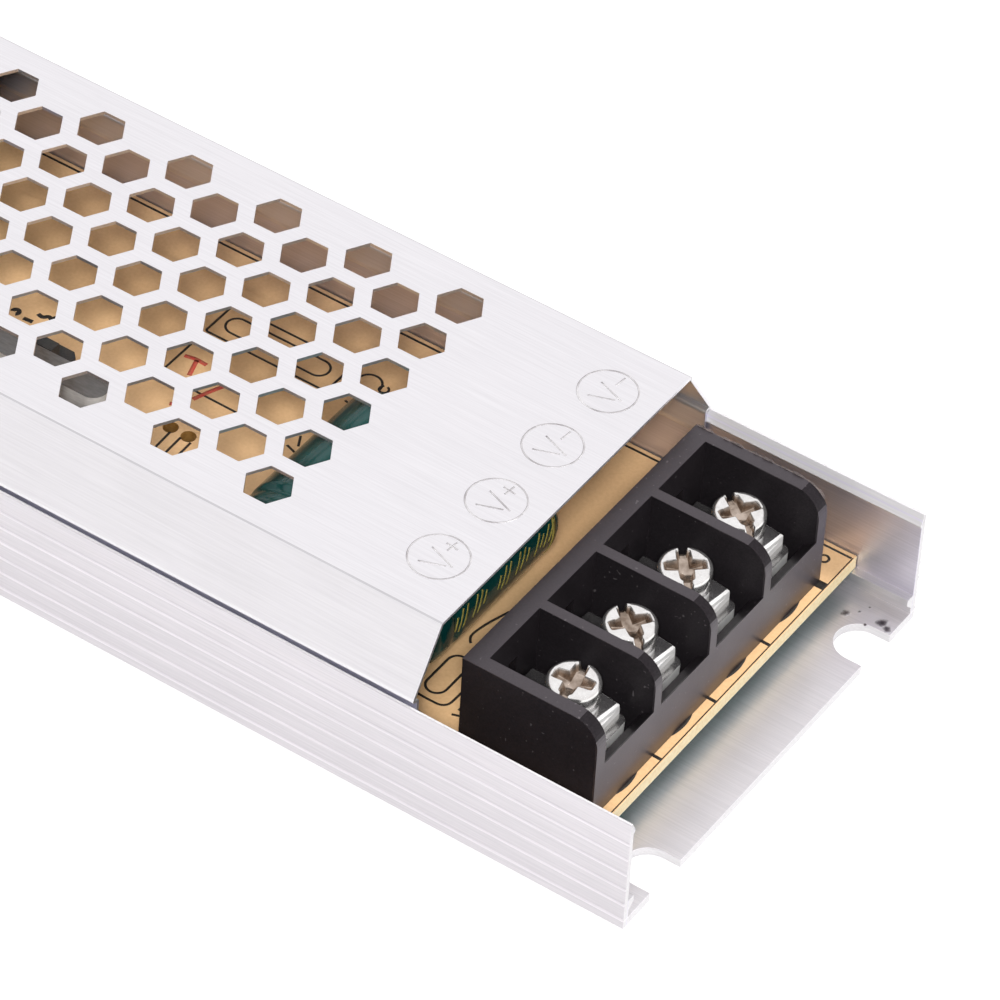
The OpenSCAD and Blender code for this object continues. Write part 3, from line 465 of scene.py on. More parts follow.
# a profile carried along a path: each path point plus the profile laid on its side and up directions
def carried(path, side, up, profile):
    return capped(path[:, None] + profile[None, :, :1] * side[:, None] + profile[None, :, 1:] * up[:, None])


# a round wire along a path, with its section turned square to the path
def wire(path, radius, reference, around=10):
    along = unit(np.gradient(path, axis=0))
    side = unit(np.cross(along, reference))
    return carried(path, side, np.cross(side, along), circle(radius, around))


# terminal screw: the outline's radius and height turned about the axis, less a cross and a slot in the head
# and a triangular groove that winds down the shank
screwShape = dict(
    rim=2.7, rimBreak=0.1, brow=0.6, browSteps=10, headHeight=2.5, flatSteps=72, headAround=180,
    crossReach=1.95, crossArm=0.64, armRoot=1.15, armTaper=0.25, armSoft=0.36, endSoft=0.5,
    crossDepth=1.5, crossRise=0.45, slotHalf=0.4, slotDepth=0.95, slotSoft=0.12, slotFoot=0.5,
    threadRadius=1.48, threadDepth=0.26, threadPitch=0.5, pointHeight=0.4, pointTaper=0.35,
    shankInto=0.3, shankSteps=110, shankAround=40, turns=[1.73, 2.50, 2.27, 2.57, 0.3, 1.7, 1.1])


def headGrid(x, y, top, turn, shape):
    rim, brow, edge, seat = shape["rim"], shape["brow"], shape["rimBreak"], top - shape["headHeight"]
    sweep = np.linspace(0, np.pi / 2, shape["browSteps"])
    flat = np.linspace(rim - brow, 0, shape["flatSteps"])[1:]
    r = np.concatenate([[0, rim - edge, rim], rim - brow + brow * np.cos(sweep), flat])[:, None]
    height = np.concatenate([[seat, seat, seat + edge], top - brow + brow * np.sin(sweep),
                             np.full(flat.shape, top)])[:, None]
    a = np.linspace(0, 2 * np.pi, shape["headAround"], endpoint=False)[None, :]
    u, v = abs(r * np.cos(a - turn)), abs(r * np.sin(a - turn))
    reach, armSoft, endSoft = shape["crossReach"], shape["armSoft"], shape["endSoft"]
    arm = shape["crossArm"] * (shape["armRoot"] - shape["armTaper"] * r / reach)
    cross = np.maximum(smoothStep(arm - v, armSoft) * smoothStep(reach - u, endSoft),
                       smoothStep(arm - u, armSoft) * smoothStep(reach - v, endSoft))
    sunk = np.maximum(shape["crossDepth"] * (1 - shape["crossRise"] * r / reach) * cross,
                      shape["slotDepth"] * smoothStep(shape["slotHalf"] - v, shape["slotSoft"]))
    sunk = sunk * (height > seat + shape["slotFoot"])
    head = np.stack([x + r * np.cos(a), y + r * np.sin(a), height - sunk], -1)
    return head, sunk / shape["crossDepth"]


def shankGrid(x, y, bottom, top, shape):
    root = top - shape["headHeight"] + shape["shankInto"]
    z = np.concatenate([[root], np.linspace(root, bottom, shape["shankSteps"]), [bottom]])[:, None]
    a = np.linspace(0, 2 * np.pi, shape["shankAround"], endpoint=False)[None, :]
    groove = abs(((z / shape["threadPitch"] - a / (2 * np.pi)) % 1) * 2 - 1)
    point = 1 - np.clip((z - bottom) / shape["pointHeight"], 0, 1)
    r = shape["threadRadius"] - shape["threadDepth"] * groove - shape["pointTaper"] * point
    r[[0, -1]] = 0
    shank = np.stack([x + r * np.cos(a), y + r * np.sin(a), z + 0 * a], -1)
    return shank, np.zeros(r.shape)


# split spring washer: a square section with soft corners carried round most of a turn, rising a little
washerShape = dict(radius=2.05, halfWidth=0.48, corner=0.1, rise=0.07, halfGap=0.09, steps=72, gapTurn=1.0)


def washerGrid(x, y, bottom, top, turn, shape):
    steps, rise = shape["steps"], shape["rise"]
    a = np.linspace(shape["halfGap"], 2 * np.pi - shape["halfGap"], steps) + turn + shape["gapTurn"]
    outward = np.stack([np.cos(a), np.sin(a), 0 * a], -1)
    path = np.array([x, y, (bottom + top) / 2]) + shape["radius"] * outward
    path[:, 2] += np.linspace(-rise, rise, steps)
    w, c, h = shape["halfWidth"], shape["corner"], (top - bottom) / 2 - rise
    section = np.array([[w, c - h], [w, h - c], [w - c, h], [c - w, h],
                        [-w, h - c], [-w, c - h], [c - w, -h], [w - c, -h]])
    return carried(path, outward, np.tile([0.0, 0.0, 1.0], (steps, 1)), section)


for terminal, turn in zip(terminals, screwShape["turns"]):
    end, number, x, y = (terminal[key] for key in ("end", "number", "x", "y"))
    bottom, top = (corner[2] for corner in boxOf(f"{end}_screw_{number}"))
    screw = dict(name=f"{end}_screw_{number}_threaded", body=f"{end}_screw_{number}", slot="plated_steel",
                 material=materials["screw_plating"], replaces=[f"{end}_screw_{number}"])
    addPiece(screw, *zip(headGrid(x, y, top, turn, screwShape), shankGrid(x, y, bottom, top, screwShape)))
    bottom, top = (corner[2] for corner in boxOf(f"{end}_washer_{number}"))
    washer = dict(name=f"{end}_washer_{number}_split", body=f"{end}_clamp_{number}", slot="plated_steel",
                  material=materials["plated_steel"], replaces=[f"{end}_washer_{number}"], smooth=False)
    addPiece(washer, [washerGrid(x, y, bottom, top, turn, washerShape)])
print("screws and washers:", len(terminals))


# can capacitor: an outline of radius against length turned about the can's axis, with fine folds in the film
# where it was shrunk over both ends. The rows of seat and top are inset from the can's radius, distance from
# that end, and zone. The pressure vent is a cross scored into the metal top
canShape = dict(
    seat=[(1.5, 0.7, 2), (1.4, 0.65, 2), (1.4, 0.02, 2), (1.4, 0.0, 0), (0.7, 0.0, 0), (0.35, 0.08, 0),
          (0.1, 0.3, 0), (0.0, 0.7, 0), (0.0, 1.9, 0), (0.12, 2.15, 0), (0.4, 2.5, 0), (0.45, 2.75, 0),
          (0.4, 3.0, 0), (0.12, 3.35, 0), (0.0, 3.6, 0)],
    top=[(0.0, 0.7, 0), (0.1, 0.3, 0), (0.35, 0.08, 0), (0.7, 0.0, 0), (1.1, 0.0, 0), (1.15, 0.05, 0),
         (1.15, 0.12, 1)],
    around=120, plainStart=3.8, plainStop=1.2, plainSteps=30, discInset=1.2, discSteps=24,
    foldDepth=0.035, foldReach=0.9, foldCount=23, foldSway=(5, 2), filmInset=1.0,
    scoreHalf=0.18, scoreSoft=0.2, scoreDepth=0.2, scoreTurn=0.4, scoreReach=0.62, scoreFade=0.5)
leadShape = dict(room=2.2, spacing=2.5, radius=0.4, inside=0.8, straight=1.3, bend=0.5, bendSteps=8,
                 drop=0.8, tip=2.0, dropSteps=14)


def canGrid(can, shape):
    r, length, steps = can["diameter"] / 2, can["length"], shape["plainSteps"]
    seat, top = np.array(shape["seat"]), np.array(shape["top"])
    plain = np.linspace(shape["plainStart"], length - shape["plainStop"], steps)
    disc = np.linspace(r - shape["discInset"], 0, shape["discSteps"])
    pole, last = seat[0, 1], np.full(len(disc), length - top[-1, 1])
    radius = np.concatenate([[0], r - seat[:, 0], np.full(steps, r), r - top[:, 0], disc])[:, None]
    along = np.concatenate([[pole], seat[:, 1], plain, length - top[:, 1], last])[:, None]
    zone = np.concatenate([seat[:1, 2], seat[:, 2], np.zeros(steps), top[:, 2], np.ones(len(disc))])[:, None]
    a = np.linspace(0, 2 * np.pi, shape["around"], endpoint=False)[None, :]
    ends = np.exp(-along / shape["foldReach"]) + np.exp((along - length) / shape["foldReach"])
    film = (zone < 0.5) * (radius > r - shape["filmInset"])
    sway = shape["foldSway"][1] * np.sin(shape["foldSway"][0] * a)
    radius = radius - shape["foldDepth"] * film * ends * (1 + np.sin(shape["foldCount"] * a + sway))
    u, v = radius * np.cos(a + shape["scoreTurn"]), radius * np.sin(a + shape["scoreTurn"])
    score = np.maximum(smoothStep(shape["scoreHalf"] - abs(u), shape["scoreSoft"]),
                       smoothStep(shape["scoreHalf"] - abs(v), shape["scoreSoft"]))
    score = score * smoothStep(shape["scoreReach"] * r - radius, shape["scoreFade"]) * (zone == 1)
    body = np.stack([can["x"] + radius * np.cos(a), can["nearY"] + along - shape["scoreDepth"] * score,
                     boardTop + r + radius * np.sin(a)], -1)
    return body, zone + 0 * a


# a lead comes out of the bung, bends down over a quarter circle and drops through the board
def leadGrid(can, side, shape):
    x, y, z = can["x"] + side * shape["spacing"], can["nearY"], boardTop + can["diameter"] / 2
    turn = np.linspace(0, np.pi / 2, shape["bendSteps"])
    bend = np.stack([y - shape["straight"] - shape["bend"] * np.sin(turn),
                     z - shape["bend"] + shape["bend"] * np.cos(turn)], -1)
    drop = np.linspace(z - shape["drop"], shape["tip"], shape["dropSteps"])[:, None]
    flat = np.concatenate([[[y + shape["inside"], z]], bend, np.insert(drop, 0, bend[-1, 0], axis=1)])
    lead = wire(np.insert(flat, 0, x, axis=1), shape["radius"], np.array([1.0, 0.0, 0.0]))
    return lead, np.full(lead.shape[:2], 3.0)


cans = {}
for kind, slotName in (("output", "green_sleeve"), ("bulk", "dark_sleeve")):
    for number in (1, 2):
        nodeName = f"{kind}_capacitor_{number}"
        low, high = boxOf(nodeName)
        nearY = low[1] + leadShape["room"]
        can = dict(x=(low[0] + high[0]) / 2, nearY=nearY, diameter=high[2] - boardTop, length=high[1] - nearY)
        sleeve = dict(name=f"{nodeName}_sleeved", body="case", slot=slotName, material=materials[slotName],
                      replaces=[nodeName])
        addPiece(sleeve, *zip(canGrid(can, canShape), *(leadGrid(can, side, leadShape) for side in (-1, 1))))
        cans[nodeName] = can
print("capacitors:", len(cans))


# the sleeve's gold print: plain leaning bars, a band and stripes, each a thin slab laid round the film along a
# path of angle and length, angle 0 facing the output end
sleevePrint = dict(angle=4.0, start=2.4, stop=19.0, pitch=0.8, height=21.0, lean=0.5, skipped=(3, 7, 8, 12, 16),
                   shortEvery=3, shortShare=0.6, barSteps=8, width=0.26, band=1.2, bandSteps=40,
                   stripes=(46.0, 60.0, 74.0), stripeMargin=4.0, stripeSteps=30, lift=0.03, sink=0.048)


def wrapped(can, path, width, spec):
    r, axisZ = can["diameter"] / 2 + spec["lift"], boardTop + can["diameter"] / 2
    along = unit(np.gradient(path * [r, 1.0], axis=0))
    halves = np.stack([along[:, 1] / r, -along[:, 0]], -1) * width / 2
    flat = np.stack([path + halves, path - halves], 1)
    a, y = flat[..., 0], flat[..., 1]
    outward = np.stack([np.cos(a), 0 * a, np.sin(a)], -1)
    skin = np.stack([can["x"] + 0 * a, can["nearY"] + y, axisZ + 0 * a], -1) + r * outward
    under = skin - spec["sink"] * outward
    return capped(np.concatenate([skin, under[:, ::-1]], 1))


def goldPrint(can, spec):
    half = math.radians(spec["height"]) / 2
    paths = []
    for k, y in enumerate(np.arange(spec["start"], spec["stop"], spec["pitch"])):
        if k not in spec["skipped"]:
            t = np.linspace(-1, 1, spec["barSteps"]) * (1.0 if k % spec["shortEvery"] else spec["shortShare"])
            paths.append(np.stack([math.radians(spec["angle"]) + half * t, y + spec["lean"] * t], -1))
    strokes = [wrapped(can, path, spec["width"], spec) for path in paths]
    t = np.linspace(-np.pi / 2, np.pi / 2, spec["bandSteps"])
    band = np.stack([t, np.full(len(t), can["length"] - spec["band"])], -1)
    strokes.append(wrapped(can, band, 2 * spec["width"], spec))
    t = np.linspace(spec["stripeMargin"], can["length"] - spec["stripeMargin"], spec["stripeSteps"])
    for angle in spec["stripes"]:
        stripe = np.stack([np.full(len(t), math.radians(angle)), t], -1)
        strokes.append(wrapped(can, stripe, spec["width"], spec))
    return strokes


gold = finish("sleeve_gold", dict(light=(0.46, 0.40, 0.10), dark=(0.34, 0.28, 0.06), scale=1500,
                                  rough=(0.3, 0.42)))
for number in (1, 2):
    bars = dict(name=f"output_capacitor_{number}_print", body="case", slot="green_sleeve", material=gold)
    addPiece(bars, goldPrint(cans[f"output_capacitor_{number}"], sleevePrint))


# choke: two windings, each a wire that circles the ring's section as it goes round the ring, with both ends
# brought down through the board
chokeShape = dict(band=3.8, turns=8, turnSteps=56, span=124.0, wire=0.48, slack=0.04, squareness=0.5,
                  tip=2.0, tailGap=0.6, tailSteps=10)


def chokeGrid(side, shape):
    low, high = boxOf("choke_core")
    centre = (low + high) / 2
    ring = (high[0] - low[0]) / 2 - shape["band"] / 2
    t = np.linspace(0, 1, shape["turns"] * shape["turnSteps"] + 1)
    phi = np.radians(90 * side + shape["span"] * (t - 0.5))
    theta = 2 * np.pi * shape["turns"] * t
    c, s = np.cos(theta), np.sin(theta)
    gap = shape["wire"] + shape["slack"]
    out = ring + (shape["band"] / 2 + gap) * np.sign(c) * abs(c) ** shape["squareness"]
    rise = ((high[2] - low[2]) / 2 + gap) * np.sign(s) * abs(s) ** shape["squareness"]
    path = centre + np.stack([out * np.cos(phi), out * np.sin(phi), rise], -1)
    reference = np.stack([-np.sin(phi), np.cos(phi), 0 * phi], -1)
    tail = np.linspace(shape["tip"], centre[2] - shape["tailGap"], shape["tailSteps"])
    first, last = (np.insert(np.tile(spot, (len(tail), 1)), 2, height, axis=1)
                   for spot, height in ((path[0, :2], tail), (path[-1, :2], tail[::-1])))
    before, after = (np.tile(reference[k], (len(tail), 1)) for k in (0, -1))
    return wire(np.concatenate([first, path, last]), shape["wire"], np.concatenate([before, reference, after]))


choke = dict(name="choke_wire_turns", body="case", slot="enamelled_copper",
             material=materials["enamelled_copper"], replaces=["choke_winding"])
addPiece(choke, [chokeGrid(side, chokeShape) for side in (-1, 1)])
print("choke wound")


# flat strokes: a thin slab of even width carried along a path on a level face
strokeShape = dict(thick=0.012, root=0.02, arcSteps=40, cornerSteps=12, lineSteps=6, cuts=3)


def ribbon(path, width, z, thick):
    along = unit(np.gradient(path, axis=0))
    side = np.stack([along[:, 1], -along[:, 0], 0 * along[:, 0]], -1)
    w, root = width / 2, strokeShape["root"]
    section = np.array([[w, -root], [w, thick], [-w, thick], [-w, -root]])
    return carried(np.insert(path, 2, z, axis=1), side, np.tile([0.0, 0.0, 1.0], (len(path), 1)), section)


# corners of a drawn line are cut a few times, each time a quarter of the way along, which rounds them
def rounded(*points):
    path = np.array(points, float)
    for _ in range(strokeShape["cuts"]):
        near, far = 0.75 * path[:-1] + 0.25 * path[1:], 0.25 * path[:-1] + 0.75 * path[1:]
        path = np.concatenate([path[:1], np.stack([near, far], 1).reshape(-1, 2), path[-1:]])
    return path


def arcPath(centre, radius, start, stop, count=strokeShape["arcSteps"]):
    a = np.radians(np.linspace(start, stop, count))
    return np.stack([centre[0] + radius * np.cos(a), centre[1] + radius * np.sin(a)], -1)


# a loop of straight sides and round corners, of full half circles where no corner is given
def stadium(left, right, low, high, corner=None):
    r = min(high - low, right - left) / 2 if corner is None else corner
    corners = [(right - r, high - r, 90), (right - r, low + r, 0), (left + r, low + r, -90),
               (left + r, high - r, 180)]
    loop = np.concatenate([arcPath((x, y), r, start, start - 90, strokeShape["cornerSteps"])
                           for x, y, start in corners])
    return np.concatenate([loop, loop[:2]])


def line(*points):
    points = np.array(points, float)
    runs = [np.linspace(a, b, strokeShape["lineSteps"], endpoint=False)
            for a, b in zip(points[:-1], points[1:])]
    return np.concatenate([*runs, points[-1:]])


# polarity marks on the cover: a ring, a letter and a sign for each output terminal, each stroke a hair higher
# than the one before it
markShape = dict(x=78.75, shift=0.18, ring=3.0, ringSweep=359.6, ringSteps=96, width=0.2, lift=0.003,
                 layer=0.02, letter=[((-1.3, -1.6), (1.25, -0.63)), ((-1.28, 0.72), (1.85, -0.42))],
                 minus=[((0.15, 1.15), (0.3, 2.6))], plus=[((-0.5, 1.95), (0.95, 1.8))], plusPoles=2)


def polarityMarks(shape):
    strokes = []
    for terminal in terminals[:poles["output"]]:
        middle = np.array([shape["x"], terminal["y"] + shape["shift"]])
        drawn = shape["letter"] + shape["minus"]
        if terminal["number"] <= shape["plusPoles"]:
            drawn = drawn + shape["plus"]
        paths = [arcPath(middle, shape["ring"], 0, shape["ringSweep"], shape["ringSteps"])]
        paths += [line(*(middle + stroke)) for stroke in drawn]
        strokes += [ribbon(path, shape["width"], coverTop, shape["lift"] * (1 + shape["layer"] * k))
                    for k, path in enumerate(paths)]
    return strokes


stamped = finish("stamped_marks", dict(light=(0.80, 0.78, 0.79), dark=(0.40, 0.375, 0.385), scale=420,
                                       detail=2.0, metal=0.3, rough=(0.5, 0.65)))
marks = dict(name="polarity_marks", body="case", slot="sheet_aluminium", material=stamped)
addPiece(marks, polarityMarks(markShape))


# black print on the board, as far as it shows beside the block and through the vents
printShape = dict(width=0.27, blotWidth=0.5, layer=0.0001, sideInset=0.6, sideFrom=-101.4, sideTo=101.9)
printLines = [
    stadium(31.95, 46.9, 12.75, 17.5, 0.3), stadium(32.95, 45.5, 13.98, 16.35),
    line((32.0, 11.9), (32.0, 4.95), (42.5, 4.85)),
    line((38.05, -1.4), (38.2, -4.3)), line((39.35, -1.4), (39.45, -4.3)), line((40.6, -1.4), (40.7, -4.3)),
    arcPath((49.7, 16.3), 1.35, 190, -10), arcPath((51.4, 16.5), 0.5, 120, 440),
    line((49.2, 12.85), (50.7, 12.55), (51.7, 12.0)), line((50.7, 12.55), (51.0, 11.7)),
    line((50.85, 13.5), (51.7, 13.45)), line((48.7, 6.0), (49.4, 4.6)), line((48.4, 4.1), (49.6, 3.7)),
    stadium(78.22, 80.46, -15.3, -9.6), arcPath((99.75, 22.75), 0.5, 0, 358),
    rounded((76.4, -14.6), (77.3, -16.1), (79.5, -16.3), (81.75, -16.2), (81.85, -14.0), (81.85, -8.5)),
    rounded((79.3, -1.9), (78.5, -4.4), (78.1, -6.6), (78.4, -7.3), (78.75, -7.65)),
    line((82.7, -16.57), (83.7, -16.2)), line((82.95, -15.75), (82.95, -15.1)),
    line((84.4, -24.3), (84.4, -21.0)), line((84.4, 20.6), (85.6, 20.6))]
printBlots = [
    arcPath((15.0, 3.4), 0.35, 200, -60), line((16.2, 3.1), (17.3, 3.2)),
    rounded((17.0, 4.5), (17.7, 4.3), (18.1, 4.9), (18.6, 4.6), (18.8, 5.2))]

# black marks in front of a block, made with the board's ink: a thin line along the board's edge, a hump
# for each terminal just in front of the block, a tick between two terminals, and a wide foot at each side
blockFrontMarkShape = dict(edgeInset=0.15, edgeHalf=24.5, edgeWidth=0.13, hump=0.5, humpRadius=5.35, humpReach=0.05,
                       humpSweep=20, humpShift=0.2, tick=0.38, tickDrop=0.05, under=0.3, foot=1.05,
                       footInset=(0.35, 0.45))


def blockFrontMarks(end, shape):
    low, high = boxOf(f"{end}_terminal_housing")
    sign, front, turn = (1, high[0], 0) if end == "output" else (-1, low[0], 180)
    edge = sign * (boxOf("circuit_board")[1][0] - shape["edgeInset"])
    start = front - sign * shape["under"]
    rows = np.array([terminal["y"] for terminal in terminals if terminal["end"] == end])
    made = [(line((edge, -shape["edgeHalf"]), (edge, shape["edgeHalf"])), shape["edgeWidth"])]
    middle = front + sign * (shape["humpReach"] - shape["humpRadius"])
    made += [(arcPath((middle, y + shape["humpShift"]), shape["humpRadius"], turn - shape["humpSweep"],
                      turn + shape["humpSweep"]), shape["hump"]) for y in rows]
    made += [(line((start, y), (edge, y - shape["tickDrop"])), shape["tick"])
             for y in (rows[:-1] + rows[1:]) / 2]
    made += [(line((start, y), (edge, y)), shape["foot"])
             for y in (low[1] + shape["footInset"][0], high[1] - shape["footInset"][1])]
    return made


def boardPrint(shape):
    side = boxOf("circuit_board")[1][1] - shape["sideInset"]
    sides = [line((shape["sideFrom"], y), (shape["sideTo"], y)) for y in (side, -side)]
    made = [(path, shape["width"]) for path in sides + printLines]
    made += [(path, shape["blotWidth"]) for path in printBlots]
    made += blockFrontMarks("output", blockFrontMarkShape) + blockFrontMarks("input", blockFrontMarkShape)
    return [ribbon(path, width, boardTop, strokeShape["thick"] + shape["layer"] * k)
            for k, (path, width) in enumerate(made)]


ink = finish("black_ink", dict(light=(0.030, 0.026, 0.022), dark=(0.018, 0.015, 0.013), scale=2600,
                               rough=(0.4, 0.55)))
printed = dict(name="board_print", body="case", slot="board_laminate", material=ink)
addPiece(printed, boardPrint(printShape))

# strokes of a red pen on the board
penShape = dict(width=0.5, thick=0.02)
penStrokes = [rounded((32.5, 8.45), (33.8, 8.75), (35.1, 8.65)), line((33.9, 8.65), (34.6, 6.4)),
              rounded((37.0, 3.8), (37.6, 5.5), (38.3, 7.1)), line((35.5, 1.9), (36.1, 2.2))]
redInk = finish("red_ink", dict(light=(0.62, 0.06, 0.05), dark=(0.50, 0.15, 0.09), scale=2200,
                                rough=(0.4, 0.5)))
penMarks = dict(name="pen_marks", body="case", slot="board_laminate", material=redInk)
addPiece(penMarks, [ribbon(path, penShape["width"], boardTop, penShape["thick"]) for path in penStrokes])
print("print and marks done")


# ragged flash left on the far top edge of the output block: a thin fin along the edge and round its corner,
# whose height is a sum of waves
flashShape = dict(start=0.3, corner=3.0, sweep=55.0, straightSteps=170, cornerSteps=50, inset=0.03, thick=0.09,
                  tip=(0.01, 0.03), root=0.12, middle=0.15, swing=0.09, least=0.03, most=0.32,
                  waves=(4.3, 9.1, 17.7, 31.3, 53.9), calm=0.4)


def flashGrid(shape):
    low, high = boxOf("output_terminal_housing")
    r = shape["corner"]
    straight = np.linspace(low[0] + shape["start"], high[0] - r, shape["straightSteps"], endpoint=False)
    a = np.radians(np.linspace(90, 90 - shape["sweep"], shape["cornerSteps"]))
    bend = np.stack([np.cos(a), np.sin(a)], -1)
    path = np.concatenate([np.insert(straight[:, None], 1, high[2], axis=1), high[[0, 2]] - r + r * bend])
    up = np.concatenate([np.tile([0.0, 1.0], (len(straight), 1)), bend])
    s = np.linspace(0, 1, len(path))
    phases = rng.uniform(0, 2 * np.pi, len(shape["waves"]))
    ripple = sum(np.sin(2 * np.pi * f * s + p) / (1 + k * shape["calm"])
                 for k, (f, p) in enumerate(zip(shape["waves"], phases)))
    height = np.clip(shape["middle"] + shape["swing"] * ripple, shape["least"], shape["most"])
    foot, tip = path - shape["root"] * up, path + height[:, None] * up
    outer = high[1] - shape["inset"]
    corners = [(foot, outer), (tip, outer - shape["tip"][0]), (tip, outer - shape["tip"][1]),
               (foot, outer - shape["thick"])]
    return capped(np.stack([np.insert(flat, 1, y, axis=1) for flat, y in corners], 1))


# the fin's pale pinkish grey is partly the thin plastic's own look and partly a painted highlight on its edge
flashPlasticAndHighlight = finish("flash_plastic_and_highlight", dict(light=(0.34, 0.28, 0.27), dark=(0.14, 0.12, 0.12), scale=1900,
                                            rough=(0.25, 0.4)))
flash = dict(name="moulding_flash", body="case", slot="black_moulding", material=flashPlasticAndHighlight, smooth=False)
addPiece(flash, [flashGrid(flashShape)])


# spatter burnt onto the floor of the channel: low domes of x, y and size with a wavy rim, whose zone runs from
# the middle to the faded rim
spatterShape = dict(
    places=[(103.63, 21.25, 0.5), (107.2, 22.2, 0.62), (108.05, 21.75, 0.5), (105.1, 23.3, 0.16),
            (106.0, 21.0, 0.2), (104.6, 22.2, 0.2)],
    waves=((2, 0.12), (3, 0.08), (5, 0.05)), floor=1.0, dome=0.02, root=0.05, around=40, rings=12)
spatterLook = dict(core=(0.10, 0.088, 0.10), ring=(0.30, 0.275, 0.29), metal=(0.90, 0.88, 0.895), blotch=1400,
                   blotchShare=0.25, coreRange=(0.1, 0.6), rimRange=(0.5, 0.95), metallic=0.88, rough=0.42)


def spatterGrid(x, y, size, shape):
    a = np.linspace(0, 2 * np.pi, shape["around"], endpoint=False)[None, :]
    phases = rng.uniform(0, 2 * np.pi, len(shape["waves"]))
    rim = size * (1 + sum(tall * np.sin(f * a + p) for (f, tall), p in zip(shape["waves"], phases)))
    share = np.concatenate([[0, 1], np.linspace(1, 0, shape["rings"])])[:, None]
    z = shape["floor"] + shape["dome"] * (1 - share ** 2)
    z[:2] = shape["floor"] - shape["root"]
    grid = np.stack([x + share * rim * np.cos(a), y + share * rim * np.sin(a), z + 0 * a], -1)
    return grid, share + 0 * a


def spatterMaterial(look):
    made, tree, bsdf = newMaterial("burnt_spatter")
    blotch = spread(tree, noiseAt(tree, look["blotch"]), -look["blotchShare"], look["blotchShare"])
    share = maths(tree, "ADD", zoneOf(tree), blotch)
    ring, rim = (mapped(tree, share, *look[key], 0.0, 1.0) for key in ("coreRange", "rimRange"))
    colour = mixed(tree, rim, mixed(tree, ring, rgba(look["core"]), rgba(look["ring"])), rgba(look["metal"]))
    setInputs(tree, bsdf, {"Base Color": colour, "Metallic": look["metallic"], "Roughness": look["rough"]})
    return made


spatter = dict(name="floor_spatter", body="case", slot="extruded_aluminium",
               material=spatterMaterial(spatterLook))
addPiece(spatter, *zip(*[spatterGrid(*place, spatterShape) for place in spatterShape["places"]]))
print("flash and spatter done")


# 1 for rays that look straight at a surface or see it in metal or glass, and 0 for light that it throws
def seenRay(tree):
    path = tree.nodes.new("ShaderNodeLightPath").outputs
    seen = maths(tree, "MAXIMUM", path["Is Camera Ray"], path["Is Glossy Ray"])
    return maths(tree, "MAXIMUM", seen, path["Is Transmission Ray"])


# stage: a white floor that keeps the shadow, and a plain bright room
floorShape = dict(reach=6.0, height=-0.0003, tone=0.36, rough=0.9, glow=0.72)
roomLook = dict(horizon=(0.92, 0.90, 0.91), zenith=(0.98, 0.97, 0.99), heights=(0.1, 0.75), dim=0.14)


def floorMaterial(shape):
    made, tree, bsdf = newMaterial("floor")
    setInputs(tree, bsdf, {
        "Base Color": rgba([shape["tone"]] * 3), "Roughness": shape["rough"], "Specular IOR Level": 0.0,
        "Emission Color": rgba((1.0, 1.0, 1.0)),
        "Emission Strength": maths(tree, "MULTIPLY", seenRay(tree), shape["glow"])})
    return made


reach, floorZ = floorShape["reach"], floorShape["height"]
floorMesh = bpy.data.meshes.new("floor")
floorMesh.from_pydata([(-reach, -reach, floorZ), (reach, -reach, floorZ), (reach, reach, floorZ),
                       (-reach, reach, floorZ)], [], [(0, 1, 2, 3)])
floorMesh.materials.append(floorMaterial(floorShape))
floor = bpy.data.objects.new("floor", floorMesh)
bpy.context.scene.collection.objects.link(floor)

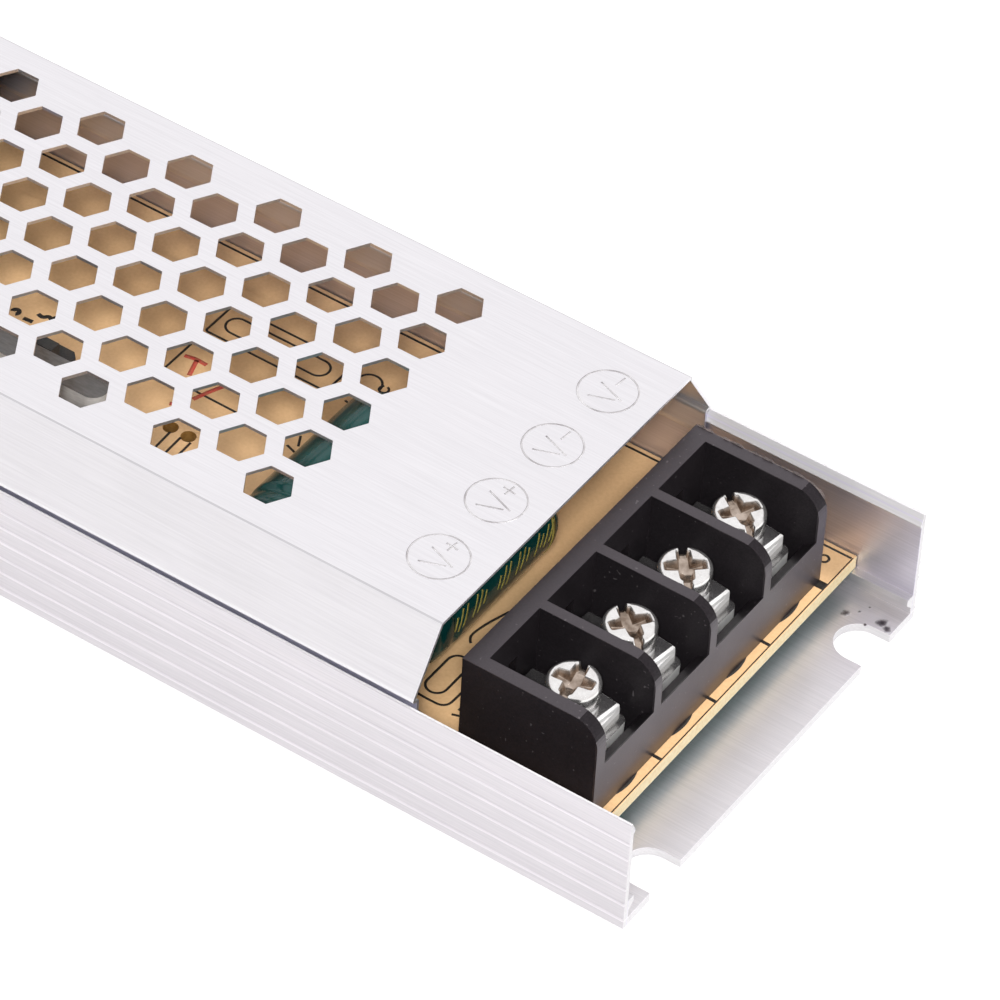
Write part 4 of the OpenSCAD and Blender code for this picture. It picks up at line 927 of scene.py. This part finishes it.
world = bpy.data.worlds.new("room")
bpy.context.scene.world = world
world.use_nodes = True
tree = world.node_tree
facing = addNode(tree, "ShaderNodeTexCoord", {}, out="Generated")
height = addNode(tree, "ShaderNodeSeparateXYZ", {0: facing}, out="Z")
upward = mapped(tree, height, *roomLook["heights"], 0.0, 1.0)
setInputs(tree, tree.nodes["Background"], {
    "Color": mixed(tree, upward, rgba(roomLook["horizon"]), rgba(roomLook["zenith"])),
    "Strength": mapped(tree, seenRay(tree), 0.0, 1.0, roomLook["dim"], 1.0)})


# an object that looks from a place against the direction back
def placed(name, data, right, up, back, spot):
    held = bpy.data.objects.new(name, data)
    bpy.context.scene.collection.objects.link(held)
    turn = np.eye(4)
    turn[:3] = np.stack([right, up, back, spot], -1)
    held.matrix_world = Matrix(turn.tolist())
    return held


# lamps stand a metre from the output end
lampAim = np.array([0.07, 0.0, 0.01])
lamps = {"front": dict(direction=(0.37, -0.60, 0.71), size=0.16, watts=7.9),
         "back": dict(direction=(0.12, 0.50, 0.86), size=0.3, watts=6.5),
         "side": dict(direction=(0.84, -0.12, 0.53), size=0.5, watts=3.4)}
for name, spec in lamps.items():
    lamp = bpy.data.lights.new(name, "AREA")
    lamp.shape = "DISK"
    lamp.size = spec["size"]
    lamp.energy = spec["watts"]
    back = unit(np.array(spec["direction"]))
    right = unit(np.cross([0.0, 1.0, 0.0], back))
    held = placed(name, lamp, right, np.cross(back, right), back, lampAim + back)
    held.visible_glossy = False  # bright metal mirrors the room and not the lamps

# camera, as fitted to the photo's edges
cameraFit = dict(azimuth=32.1718, elevation=43.8837, roll=3.4233, lens=222.0, sensor=36.0, clip=0.01,
                 aim=(66.9677, 14.7912, 0.0), distance=614.5992)
azimuth, elevation, roll = (math.radians(cameraFit[key]) for key in ("azimuth", "elevation", "roll"))
back = np.array([math.sin(azimuth) * math.cos(elevation), -math.cos(azimuth) * math.cos(elevation),
                 math.sin(elevation)])
level = np.array([math.cos(azimuth), math.sin(azimuth), 0.0])
raised = np.cross(back, level)
camera = bpy.data.cameras.new("camera")
camera.lens = cameraFit["lens"]
camera.sensor_width = cameraFit["sensor"]
camera.clip_start = cameraFit["clip"]
right = math.cos(roll) * level + math.sin(roll) * raised
up = math.cos(roll) * raised - math.sin(roll) * level
spot = (np.array(cameraFit["aim"]) + back * cameraFit["distance"]) * mm
bpy.context.scene.camera = placed("camera", camera, right, up, back, spot)
bpy.context.scene.view_settings.view_transform = "Standard"

print("scene ready")
